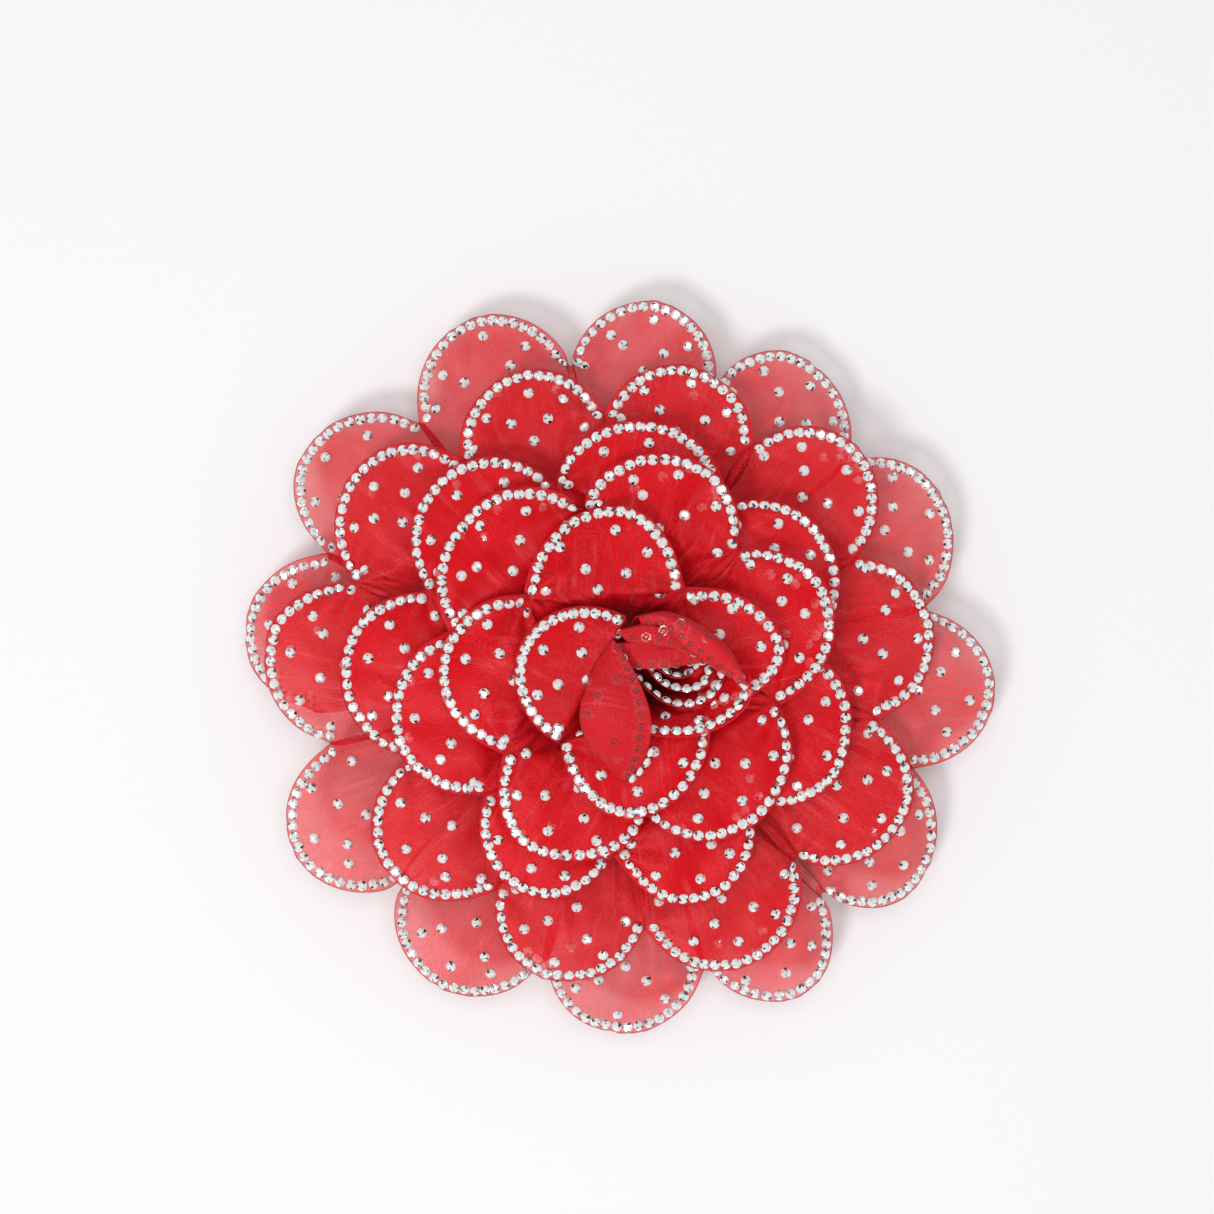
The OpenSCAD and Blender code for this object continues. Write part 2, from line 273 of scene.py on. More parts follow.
# %% A wall of cloth
def sheet_of(name, points, cloth, material, to_edge, thickness=0.2):
    """A cloth piece from a grid of points. cloth holds each point's place on the flat cloth in mm,
    kept as the UV map "cloth", to_edge its distance from the cut edge, and Solidify gives it a wall
    below its upper side."""
    cells = grid_corners(*points.shape[:2])
    piece = build(name, points.reshape(-1, 3), cells.ravel(), np.full(len(cells), 4), material)
    uv = piece.data.uv_layers.new(name="cloth")
    uv.data.foreach_set("uv", cloth.reshape(-1, 2)[cells.ravel()].astype(np.float32).ravel())
    edge = piece.data.attributes.new("to_edge", "FLOAT", "POINT")
    edge.data.foreach_set("value", to_edge.ravel().astype(np.float32))
    wall = piece.modifiers.new("wall", "SOLIDIFY")
    wall.thickness, wall.offset = thickness * MM, -1
    print(f"{name}: {points.shape[0]} x {points.shape[1]} points")
    return piece


print("cloth builder ready")


# %% Directions, round wires and joining
def unit(v):
    """Each vector divided by its length."""
    return v / np.maximum(np.linalg.norm(v, axis=-1, keepdims=True), 1e-9)


def heading(angle):
    """The direction in plan at an angle, for any array of angles: its cosine and its sine."""
    return np.stack([np.cos(angle), np.sin(angle)], -1)


def ring_of(angles, side, other):
    """A ring of directions in each plane that side and other span: side times the cosine of every
    angle, and other times its sine."""
    return np.cos(angles)[:, None] * side[..., None, :] + np.sin(angles)[:, None] * other[..., None, :]


def tube(name, path, radius, material, sides=12):
    """A round wire: at each point of the path a ring of points square to it, and a flat face
    closing each end. A ring's first side is the ring's before it with the part along the new
    direction taken away, so the wire doesn't twist."""
    path = np.asarray(path, float)
    ahead = unit(np.gradient(path, axis=0))
    side = [unit(np.cross(ahead[0], (0.31, 0.47, 0.83)))]
    for a in ahead[1:]:
        side.append(unit(side[-1] - a * (side[-1] @ a)))
    side = np.array(side)
    other = np.cross(ahead, side)
    angles = np.linspace(0, FULL_TURN, sides, endpoint=False)
    r = np.broadcast_to(radius, len(path))[:, None, None]
    rings = path[:, None] + r * ring_of(angles, side, other)
    cells = grid_corners(len(path), sides, round_cols=True)[:, ::-1]
    start, end = np.arange(sides)[::-1], (len(path) - 1) * sides + np.arange(sides)
    corners = np.concatenate([cells.ravel(), start, end])
    counts = np.concatenate([np.full(len(cells), 4), [sides, sides]])
    return build(name, rings.reshape(-1, 3), corners, counts, material)


def joined(pieces, name):
    """Several objects made one mesh."""
    with bpy.context.temp_override(active_object=pieces[0], selected_editable_objects=pieces):
        bpy.ops.object.join()
    pieces[0].name = pieces[0].data.name = name
    return pieces[0]


print("wire builder ready")

# %% [markdown]
# ## The ribbon's plan
# Between two neighbouring scallops the ribbon has a notch. The list says where each notch of the
# wound ribbon stands, as an angle that keeps on turning clockwise and a distance from the winding
# axis. Heights and the gathered foot change slowly along the winding, so a few values with straight
# lines between them are enough. Petals on the real flower aren't twins: each has its own reach,
# and leans a little to one side. The CAD model has the same list, so the cloth lies in its box.

# %% Notches, heights and the foot
WINDING_AXIS = np.array([0.05, -0.1, 0.0])
NOTCHES = np.array([
    [188, 61.5], [159, 62], [129, 62.5], [99, 61.5], [71, 60.5], [42, 60.5], [11, 61.5],
    [-19, 61.5], [-48, 61.5], [-74, 61.5], [-104, 60], [-135, 61], [-165, 58.5],
    [-198, 54.5], [-233, 51], [-267, 49.5], [-301, 51], [-335, 51.5], [-371, 51],
    [-407, 51.5], [-444, 51], [-479, 49.5], [-517, 44.5],
    [-562, 40], [-611, 38], [-663, 37.5], [-715, 37], [-765, 36.5], [-811, 35.5], [-857, 35],
    [-913, 32.5], [-977, 32], [-1035, 32.5], [-1092, 31], [-1159, 29], [-1224, 26.5],
    [-1299, 22.5], [-1389, 19.5], [-1465, 19], [-1570, 18]])
TURN_START = [0, 12, 22, 29, 35, 39]
NOTCH_Z = np.array([
    [0, 11.6], [10, 12.6], [11, 14.4], [12, 17.2], [13, 19.8], [21, 21.2], [22, 25], [23, 27.6],
    [28, 28.8], [29, 31.6], [30, 33.6], [34, 34.6], [35, 36.4], [36, 38.2], [39, 40.2]])
FOOT_R = np.array([[0, 35.5], [12, 30.5], [22, 22.5], [29, 16.5], [35, 11], [39, 7.6]])
FOOT_Z = np.array([[0, 14.2], [12, 14.4], [22, 14.8], [29, 15.3], [35, 15.8], [39, 16.4]])
REACH = np.array([
    16.4, 16.6, 16.6, 14.8, 14.5, 15.3, 16.5, 15.6, 15.5, 15.3, 15.8, 17.1,
    16.4, 15.4, 14.3, 13.7, 15.3, 14.7, 16.0, 16.0, 15.6, 16.4,
    15.6, 15.9, 15.0, 14.5, 14.8, 15.8, 15.3,
    15.8, 15.1, 15.0, 15.2, 14.8, 15.5,
    15.5, 16.9, 16.6, 17.0])
LEAN = np.array([
    -0.6, -0.7, 0.7, 0.9, -1.2, -0.9, 0.2, 1.7, -0.9, 0.0, -0.6, -0.1,
    0.6, 1.0, 0.6, -0.5, -0.5, -0.1, -0.6, 0.7, 0.3, 0.4,
    1.2, 0.0, 0.8, -0.8, 1.7, 0.8, -0.6,
    -0.7, 0.3, 0.9, -0.5, 0.4, 1.9,
    -0.1, 1.6, 2.1, 1.9])
THROAT = 24.0
MEAN_REACH = 15.6
ARCH = 1.8
DROOP = 2.2
PETALS = len(REACH)
notch_xy = NOTCHES[:, 1:] * heading(np.radians(NOTCHES[:, 0]))
notch = np.column_stack([notch_xy, np.interp(np.arange(PETALS + 1), *NOTCH_Z.T)])
print(f"{PETALS} petals, mean chord {np.linalg.norm(np.diff(notch_xy, axis=0), axis=1).mean():.1f} mm")

# %% [markdown]
# ## One surface for the whole ribbon
# From the gathered foot the ribbon rises and bends outward like a quarter of an ellipse, up to the
# line between its two notches. Beyond that line it runs on flat: the outline is half an ellipse, a
# little arched in the middle, and its tip droops. On top of this come the marks of real cloth:
# pleats at the gathers, a pinched crease and a fan of folds at every notch, and long creases. A cloth
# simulation of forty petals takes long and drifts away from the plan, while formulas keep every
# petal where it belongs, so the wrinkles are added along the surface's own normal.


# %% The smooth ribbon
def place_on_petal(s):
    """The petal number k and the share u along it for a place s counted in petals."""
    k = np.clip(np.floor(s).astype(int), 0, PETALS - 1)
    return k, s - k


def petal_parts(s, v):
    """Where (s, v) lies on its petal k, at the share u: x from the petal's middle line, y out from
    the notch line, and half the chord. The width of the cloth there is the throat and half an
    ellipse."""
    k, u = place_on_petal(s)
    half = np.linalg.norm(notch_xy[k + 1] - notch_xy[k], axis=-1) / 2
    y = v * (THROAT + REACH[k] * np.sin(np.pi * u)) - THROAT
    return k, u, -half * np.cos(np.pi * u), y, half


def smooth_ribbon(s, v):
    """Along the cloth's width the bend goes from 0 to 90 degrees over the throat. Height follows
    its sine and the way outward one less its cosine, and past the throat the point moves straight
    out. The arch is highest in the petal's middle."""
    k, u, x, y, _ = petal_parts(s, v)
    a, b = notch[k], notch[k + 1]
    ahead = unit(b[..., :2] - a[..., :2])
    out = np.stack([-ahead[..., 1], ahead[..., 0]], -1)
    bend = np.pi / 2 * np.clip((y + THROAT) / THROAT, 0, 1)
    past = np.maximum(y, 0)
    angle = np.radians(NOTCHES[k, 0] * (1 - u) + NOTCHES[k + 1, 0] * u)
    foot = np.interp(s, *FOOT_R.T)[..., None] * heading(angle)
    brim = (a[..., :2] + b[..., :2]) / 2 + ahead * x[..., None]
    far = (past / REACH[k]) ** 2
    flat = foot * np.cos(bend)[..., None] + brim * (1 - np.cos(bend))[..., None] + out * past[..., None]
    flat = flat + ahead * (LEAN[k] * far * np.sin(np.pi * u))[..., None]
    frayed = (0.10 * np.sin(61 * u + k) + 0.07 * np.sin(103 * u + 2 * k)) * far**6 * np.sin(np.pi * u)
    flat = flat + out * frayed[..., None]
    up = np.interp(s, *FOOT_Z.T)
    z = up + (a[..., 2] * (1 - u) + b[..., 2] * u - up) * np.sin(bend)
    z = z + ARCH * np.sin(np.pi * u) * (2 * bend / np.pi) ** 2 - DROOP * far
    return np.concatenate([flat, z[..., None]], -1)


def upward(surface, s, v, step=0.01):
    """The upward normal of a surface: its direction along s crossed with its direction along v."""
    along = surface(np.minimum(s + step, PETALS), v) - surface(np.maximum(s - step, 0), v)
    across = surface(s, np.minimum(v + step, 1)) - surface(s, np.maximum(v - step, 0))
    return unit(np.cross(along, across))


print("the ribbon starts at", smooth_ribbon(np.array(0.5), np.array(1.0)).round(1))

# %% Wrinkles of the ribbon
CREASES = 4
PLEATS = 8
crease_x = rng.uniform(-0.75, 0.75, (PETALS, CREASES))
crease_slope = rng.uniform(-0.35, 0.35, (PETALS, CREASES))
crease_high = rng.uniform(-0.55, 0.75, (PETALS, CREASES))
crease_wide = rng.uniform(0.6, 1.5, (PETALS, CREASES))
crease_y = rng.uniform(-9, 2, (PETALS, CREASES))
pinch = rng.uniform(1.2, 2.3, PETALS + 1) * rng.choice([-1, 1, 1], PETALS + 1)
wave = rng.uniform(0, FULL_TURN, (PETALS, 4))
fan = rng.uniform(0.20, 0.42, PETALS + 1)
fan_count = rng.uniform(4.0, 6.5, PETALS + 1)
fan_turn = rng.uniform(0, FULL_TURN, PETALS + 1)
tip_rise = rng.uniform(-1.0, 1.2, PETALS)
roll = rng.uniform(-0.9, 0.9, PETALS)


def wrinkles(s, v):
    """How far the cloth stands off the smooth ribbon, in mm. Pleats: a wave with sharp tops, 8 to a
    petal, fading up the throat. Pinches: a bell-shaped ridge at each notch. Fans: folds that spread
    from each notch, a sine of the angle round it whose height rises with distance and dies away
    again. Creases: four bell-shaped ridges a petal, on slanting lines. Then a slow swell, a flutter
    along the edge, and a tip that is raised and rolled; these vanish at the notches, so
    neighbouring petals still join."""
    k, u, x, y, half = petal_parts(s, v)
    deep = np.clip(-y / THROAT, 0, 1)
    phase = FULL_TURN * (PLEATS * s + 0.5 * np.sin(2.1 * s) + 0.3 * np.sin(5.3 * s + 1))
    pleat = np.sin(phase) + 0.35 * np.sin(2 * phase + 0.6)
    height = 0.95 * deep**1.3 * pleat + 0.10 * pleat * np.exp(-(((y + 5) / 6) ** 2))
    near = np.where(u < 0.5, k, k + 1)
    gap = half - np.abs(x)
    height = height + pinch[near] * np.exp(-((gap / 1.3) ** 2)) * np.exp(-(((y + 4.5) / 5) ** 2))
    away = np.hypot(gap, y)
    about = np.arctan2(np.where(u < 0.5, gap, -gap), -y)
    folds = np.sin(fan_count[near] * about + fan_turn[near])
    height = height + fan[near] * folds * away * np.exp(-away / 4.6)
    inner = np.clip(1 - (x / half) ** 2, 0, 1)
    for j in range(CREASES):
        line = x - half * crease_x[k, j] - crease_slope[k, j] * (y + 6)
        ridge = np.exp(-((line / crease_wide[k, j]) ** 2)) * np.exp(-(((y - crease_y[k, j]) / 6.5) ** 2))
        height = height + 1.15 * crease_high[k, j] * ridge * np.sqrt(inner)
    swell = np.sin(x / 4.2 + wave[k, 0]) * np.cos(y / 4.6 + wave[k, 1])
    swell = swell + 0.5 * np.sin(x / 2.3 - y / 3.1 + wave[k, 2])
    height = height + 0.42 * swell * inner * np.clip((y + 14) / 14, 0, 1)
    far = (np.maximum(y, 0) / REACH[k]) ** 2
    round_edge = np.arctan2(np.maximum(y, 0), -x)
    height = height + 0.22 * np.sin(7 * round_edge + wave[k, 3]) * far * inner**0.25
    return height + (tip_rise[k] + roll[k] * x / half) * far * np.sin(np.pi * u)


def ribbon(s, v):
    """The smooth ribbon moved along its upward normal by the wrinkles."""
    return smooth_ribbon(s, v) + upward(smooth_ribbon, s, v) * wrinkles(s, v)[..., None] + WINDING_AXIS


print("wrinkles on petal 5:", wrinkles(np.full(5, 4.5), np.linspace(0, 1, 5)).round(2), "mm")

# %% [markdown]
# ## Shared effects
# Cloth, felt, card and steel all need fine structure. Each effect is a node group with named inputs
# and outputs, so one weave serves the organza, the thread and the stiff base at their own scales.
# The groups only put out values that change over the surface. The shader stays in the material.


# %% An empty node group
def group(name, inputs, outputs):
    """An empty node group with float inputs {name: default}, a vector input "Place" and float
    outputs."""
    tree = bpy.data.node_groups.new(name, "ShaderNodeTree")
    tree.interface.new_socket("Place", in_out="INPUT", socket_type="NodeSocketVector")
    for title, value in inputs.items():
        tree.interface.new_socket(title, in_out="INPUT",
                                  socket_type="NodeSocketFloat").default_value = value
    for title in outputs:
        tree.interface.new_socket(title, in_out="OUTPUT", socket_type="NodeSocketFloat")
    start, end = add(tree, "NodeGroupInput"), add(tree, "NodeGroupOutput")
    return tree, start.outputs, end.inputs


print("groups can be made")


# %% Weave, grain and brushed metal
def weave_group():
    """Two sets of threads at right angles. Each thread's height is a sine across it, one set rises
    where the other dips, and a stretched noise along the threads gives long soft streaks. In Shade,
    which colours the cloth, these streaks are partly the slubs of the thread and partly painted
    satin sheen."""
    tree, start, end = group("weave", {"Threads per mm": 2.0, "Streak": 0.5},
                             ["Shade", "Height", "Streaks"])
    parts = add(tree, "ShaderNodeSeparateXYZ", {0: start["Place"]}).outputs
    turn = sums(tree, "MULTIPLY", start["Threads per mm"], FULL_TURN)
    warp = sums(tree, "SINE", sums(tree, "MULTIPLY", parts["X"], turn))
    weft = sums(tree, "SINE", sums(tree, "MULTIPLY", parts["Y"], turn))
    both = sums(tree, "MULTIPLY_ADD", sums(tree, "ADD", warp, weft), 0.25, 0.5)
    scaled = stretched(tree, start["Place"], 1.1, 0.09, 0.5)
    slub = noise(tree, scaled, 1.0, 4.0, 0.6)
    streak = sums(tree, "MULTIPLY", sums(tree, "SUBTRACT", slub, 0.5), start["Streak"])
    tree.links.new(both, end["Height"])
    # Shade: the weave's tone, with the streaks as slub tone and painted satin sheen.
    tree.links.new(sums(tree, "ADD", both, streak), end["Shade"])
    tree.links.new(slub, end["Streaks"])
    return tree


def grain_group():
    """Cloudy noise at two scales: Fine for fibres or grit, Broad for slow changes over the
    piece."""
    tree, start, end = group("grain", {"Fine scale": 3.0, "Broad scale": 0.2, "Amount": 1.0},
                             ["Fine", "Broad", "Height"])
    fine = noise(tree, start["Place"], start["Fine scale"], 6.0, 0.7)
    broad = noise(tree, start["Place"], start["Broad scale"], 2.0)
    tree.links.new(fine, end["Fine"])
    tree.links.new(broad, end["Broad"])
    tree.links.new(sums(tree, "MULTIPLY", fine, start["Amount"]), end["Height"])
    return tree


def brush_group():
    """Brushed or rolled metal: noise stretched 40 times along X, with rare deeper scratches where a
    second noise passes a threshold."""
    tree, start, end = group("brushed", {"Lines per mm": 6.0, "Scratches": 0.5},
                             ["Lines", "Scratch", "Height"])
    long = stretched(tree, start["Place"], 0.025, 1.0)
    lines = noise(tree, long, start["Lines per mm"], 5.0, 0.65)
    other = stretched(tree, start["Place"], 0.3, 1.6)
    rare = noise(tree, other, 1.3, 8.0, 0.8)
    scratch = sums(tree, "MULTIPLY", mapped(tree, rare, 0.62, 0.7), start["Scratches"])
    tree.links.new(lines, end["Lines"])
    tree.links.new(scratch, end["Scratch"])
    tree.links.new(sums(tree, "SUBTRACT", lines, scratch), end["Height"])
    return tree


WEAVE, GRAIN, BRUSHED = weave_group(), grain_group(), brush_group()
print("node groups:", [g.name for g in bpy.data.node_groups])


# %% A shared effect in a material
def effect(tree, shared, place, **values):
    """A shared effect placed in a material, with its own values; underscores in names stand for
    spaces."""
    node = add(tree, "ShaderNodeGroup", node_tree=shared)
    tree.links.new(place, node.inputs["Place"])
    for name, value in values.items():
        node.inputs[name.replace("_", " ")].default_value = value
    return node.outputs


def in_mm(tree, uv=None):
    """A place vector in mm: the flat cloth's UV map where there is one, or else Object
    coordinates."""
    if uv:
        return add(tree, "ShaderNodeUVMap", uv_map=uv).outputs[0]
    place = add(tree, "ShaderNodeTexCoord").outputs["Object"]
    return add(tree, "ShaderNodeVectorMath", {0: place, "Scale": 1000.0}, operation="SCALE").outputs[0]


def bumped(tree, shader, height, strength, distance_mm):
    """A Bump node from a height, feeding the shader's Normal."""
    values = {"Height": height, "Strength": strength, "Distance": distance_mm * MM}
    bump = add(tree, "ShaderNodeBump", values)
    put(tree, shader, {"Normal": bump.outputs[0]})


print("effects can be placed")

# %% [markdown]
# ## Organza
# Organza is a thin plain weave of twisted shiny threads, with air between them: over white paper
# one layer turns pink, and over a second layer it is deep red. Glass-like transmission would be slow
# and would bend the light, so the cloth is see-through by Alpha, as a screen of threads really is.
# A petal has two skins, because of its wall, and each covers about half. Three things make its shine:
# painted highlights of small sparks in patches, like moire where the two skins' threads line up;
# painted highlight streaks that run across the ribbon; and a lower roughness along those streaks.
# Towards the throat the red is painted darker: partly the denser gathered cloth, partly painted shade
# of the recess. The cut edge was sealed with heat: a narrow, darker, closed line, found from the
# distance to the edge.


# %% Organza material
# The first red is painted darker towards the throat: partly the denser gathered cloth, partly painted shade
# of the recess. The second is the darker heat-sealed edge.
GATHERS_AND_SHADE_RED, SEALED_RED = (0.55, 0.003, 0.010, 1), (0.50, 0.02, 0.03, 1)
# Painted highlight reds for the sparks and the streaks.
SPARK_HIGHLIGHT_RED, STREAK_HIGHLIGHT_RED = (1.0, 0.09, 0.105, 1), (1.0, 0.12, 0.14, 1)


def organza(name, deep, light, alpha, gloss):
    """Red cloth, from the weave's deep colour to its light one, then painted darker towards the throat,
    partly for the denser gathered cloth and partly as shade of the recess, and lighter at painted
    highlight sparks and streaks. alpha is the mean cover, which the weave and the crumpling vary, and
    gloss is the lowest roughness away from the streaks."""
    material, tree, shader = new_material(name)
    place = in_mm(tree, "cloth")
    weave = effect(tree, WEAVE, place, Threads_per_mm=3.1, Streak=0.35)
    edge = add(tree, "ShaderNodeAttribute", attribute_name="to_edge").outputs["Fac"]
    sealed = mapped(tree, edge, 0.12, 0.42, 1.0, 0.0)
    cloth = ramp(tree, weave["Shade"], (0.1, deep), (0.9, light))
    crumple = effect(tree, GRAIN, stretched(tree, place, 1.0, 0.4),
                     Fine_scale=0.32, Broad_scale=0.11)
    width = add(tree, "ShaderNodeSeparateXYZ", {0: place}).outputs["Y"]
    # Painted darker towards the throat: partly the denser gathered cloth, partly painted shade of the
    # recess.
    gathers_and_shade = mapped(tree, width, 10.0, 32.0, 0.7, 0.0)
    cloth = blended(tree, gathers_and_shade, cloth, GATHERS_AND_SHADE_RED)
    # Painted highlights: small sparks in patches of a noise.
    spark_grain = effect(tree, GRAIN, place, Fine_scale=1.9, Broad_scale=0.16)
    spark_highlight = mapped(tree, spark_grain["Fine"], 0.48, 0.68)
    highlight_patch = mapped(tree, spark_grain["Broad"], 0.42, 0.62, 0.05, 0.62)
    cloth = blended(tree, sums(tree, "MULTIPLY", spark_highlight, highlight_patch), cloth, SPARK_HIGHLIGHT_RED)
    # Painted highlights: streaks that run across the ribbon; the same streaks also lower the roughness.
    streak_grain = effect(tree, GRAIN, stretched(tree, place, 0.62, 0.075), Fine_scale=0.9, Broad_scale=0.3)
    streak = mapped(tree, streak_grain["Fine"], 0.55, 0.70, 0.0, 0.52)
    cloth = blended(tree, streak, cloth, STREAK_HIGHLIGHT_RED)
    colour = blended(tree, sums(tree, "MULTIPLY", sealed, 0.35), cloth, SEALED_RED)
    cover = sums(tree, "MULTIPLY_ADD", sums(tree, "SUBTRACT", weave["Shade"], 0.5), 0.16, alpha)
    cover = sums(tree, "MULTIPLY_ADD", sums(tree, "SUBTRACT", crumple["Broad"], 0.5), 0.34, cover)
    cover = sums(tree, "MAXIMUM", cover, sums(tree, "MULTIPLY", sealed, 0.65))
    rough = sums(tree, "MULTIPLY_ADD", weave["Streaks"], 0.26, gloss)
    rough = sums(tree, "MULTIPLY_ADD", streak, -0.22, rough)
    put(tree, shader, {"Base Color": colour, "Alpha": cover, "Roughness": rough, "IOR": 1.55,
                       "Specular IOR Level": 0.75, "Specular Tint": (1.0, 0.24, 0.28, 1),
                       "Sheen Weight": 0.03, "Sheen Roughness": 0.35,
                       "Sheen Tint": (1.0, 0.35, 0.40, 1)})
    relief = sums(tree, "ADD", weave["Height"], sums(tree, "MULTIPLY", weave["Streaks"], 2.0))
    bumped(tree, shader, sums(tree, "MULTIPLY_ADD", crumple["Fine"], 16.0, relief), 0.38, 0.06)
    return material


organza_shiny = organza("red organza", (0.70, 0.002, 0.006), (0.97, 0.007, 0.016), 0.45, 0.24)
organza_dull = organza("dull side of the organza", (0.60, 0.006, 0.014), (0.84, 0.018, 0.032),
                       0.62, 0.42)
print("materials:", organza_shiny.name, "and", organza_dull.name)

# %% Wind the ribbon
STEPS_ALONG, STEPS_OUT = 60, 32
RIBBON_SCALLOP = 31.0
FAR_IN = 9.0


def from_edge(share, y, reach):
    """About how far a point lies inside the half-ellipse, for its share of the half chord and its y
    out from the chord: one less its distance in the unit circle, times the reach. In the throat,
    where no cut edge is near, it is FAR_IN."""
    return np.where(y > -1, (1 - np.sqrt(share**2 + (np.maximum(y, 0) / reach) ** 2)) * reach, FAR_IN)


def wind_turn(i):
    """The grid of turn i: s runs over its petals in equal steps, and v in steps that are finer
    towards the scalloped edge."""
    petals = TURN_START[i + 1] - TURN_START[i]
    s = np.linspace(TURN_START[i], TURN_START[i + 1] - 1e-6, petals * STEPS_ALONG + 1)[:, None]
    t = np.linspace(0, 1, STEPS_OUT + 1)[None, :]
    v = t + 0.12 * np.sin(np.pi * t)
    s, v = np.broadcast_arrays(s, v)
    k, _, x, y, half = petal_parts(s, v)
    to_edge = from_edge(x / half, y, REACH[k])
    cloth = np.stack([s * RIBBON_SCALLOP, y + THROAT], -1)
    return sheet_of(f"organza_turn_{i + 1}", ribbon(s, v), cloth, organza_shiny, to_edge)


TURNS_OF_RIBBON = len(TURN_START) - 1
turns = [wind_turn(i) for i in range(TURNS_OF_RIBBON)]
print("the ribbon is wound in", TURNS_OF_RIBBON, "turns")

# %% [markdown]
# ## Crystals
# Hot-fix crystals are small foil-backed glass chatons: an eight-sided table on top, a ring of
# slanting facets, and a round girdle. A thousand of them must stay light, so one has 57 faces, and
# all of a turn's crystals are one mesh. The foil behind the glass sends light back from many small
# mirrors, and here that light is painted: each facet has its own painted glint, a grey which swings
# from bright to dark two or three times round the crystal, with some chance added. The table is cut
# into eight wedges for it, so the foil's facets show through it as painted glints. The shader is
# part mirror, part white: a full mirror would only show the ceiling.


# %% One crystal
def on_circle(angles, radius, z):
    """Points at angles on a level circle."""
    return np.column_stack([radius * heading(angles), np.full(len(angles), z)])


def crystal_shape(radius=1.05, height=0.8):
    """Rings of points: the table (8 points at half the radius), the crown (8, turned by a
    sixteenth), girdle and foot (16 each), and the table's middle. Faces: 8 wedges of the table, 8
    triangles round it, 8 kites, 32 in the girdle and sides, and the foot."""
    def ring(count, r, z, turned=0.0):
        """Evenly spaced points on a level circle, the first one turned by a share of a step."""
        return on_circle(FULL_TURN * (np.arange(count) + turned) / count, r, z)
    points = np.vstack([ring(8, 0.5, height), ring(8, 0.79, 0.72 * height, 0.5), ring(16, 1, 0.3 * height),
                        ring(16, 0.9, 0), [[0, 0, height]]])
    points[:, :2] *= radius
    i, j = np.arange(8), np.arange(16)
    table, crown, girdle, foot = i, 8 + i, 16 + j, 32 + j
    before, after, ahead = np.roll(crown, 1), np.roll(table, -1), np.roll(girdle, -1)
    faces = np.stack([table, after, np.full(8, 48)], -1).tolist()
    faces += np.stack([table, crown, after], -1).tolist()
    faces += np.stack([table, before, girdle[::2], crown], -1).tolist()
    faces += np.stack([crown, girdle[::2], girdle[1::2]], -1).tolist()
    faces += np.stack([crown, girdle[1::2], np.roll(girdle[::2], -1)], -1).tolist()
    faces += np.stack([girdle, foot, np.roll(foot, -1), ahead], -1).tolist()
    faces += [[*foot[::-1]]]
    return points, faces


CRYSTAL = crystal_shape()
print("one crystal:", len(CRYSTAL[0]), "points and", len(CRYSTAL[1]), "faces")


# %% Copies of a shape, and foiled glass
def copies(shape, centres, normals, spin):
    """The shape put at every centre with its z along the normal there and turned by spin about it:
    all points, corners and counts."""
    points, faces = shape
    side = unit(np.cross(normals, (0.2, 0.97, 0.1)))
    other = np.cross(normals, side)
    c, s = np.cos(spin)[:, None], np.sin(spin)[:, None]
    first, second = c * side + s * other, -s * side + c * other
    placed = centres[:, None] + points @ np.stack([first, second, normals], 1)
    flat = np.concatenate(faces)
    corners = (flat[None] + len(points) * np.arange(len(centres))[:, None]).ravel()
    counts = np.tile([len(f) for f in faces], len(centres))
    return placed.reshape(-1, 3), corners, counts


def crystal_material():
    """Foil-backed glass: each facet's painted glint grey as the mirror's colour, with painted fire, a
    faint break into colours between facets."""
    material, tree, shader = new_material("foiled crystal")
    # Each facet's painted glint: a grey standing in for the light that the foil mirrors back.
    facet_glint = add(tree, "ShaderNodeAttribute", attribute_name="facet_glint").outputs["Fac"]
    glint_grey = ramp(tree, facet_glint, (0.0, (0.02, 0.02, 0.025)), (0.2, (0.12, 0.12, 0.13)),
                (0.36, (0.85, 0.85, 0.85)), (0.5, (1, 1, 1)))
    painted_fire = add(tree, "ShaderNodeHueSaturation", {"Hue": facet_glint, "Saturation": 1.0, "Value": 1.0,
                                                 "Color": (1.0, 0.86, 0.82, 1)}).outputs[0]
    tinted = blended(tree, 0.25, glint_grey, painted_fire, "MULTIPLY")
    dust = effect(tree, GRAIN, in_mm(tree), Fine_scale=1.5)["Fine"]
    put(tree, shader, {"Base Color": tinted, "Metallic": 0.38, "Coat Weight": 0.6,
                       "Coat Roughness": 0.03,
                       "Roughness": sums(tree, "MULTIPLY_ADD", dust, 0.2, 0.02)})
    return material


crystal = crystal_material()
print("material:", crystal.name)

# %% A group of crystals
FACET_ANGLE = np.array([np.arctan2(*CRYSTAL[0][f].mean(0)[1::-1]) for f in CRYSTAL[1]])
WEDGES = 8
MEAN_GLINT, GLINT_SWING, GLINT_CHANCE = 0.76, 0.58, 0.20
CLEARANCE = 0.08


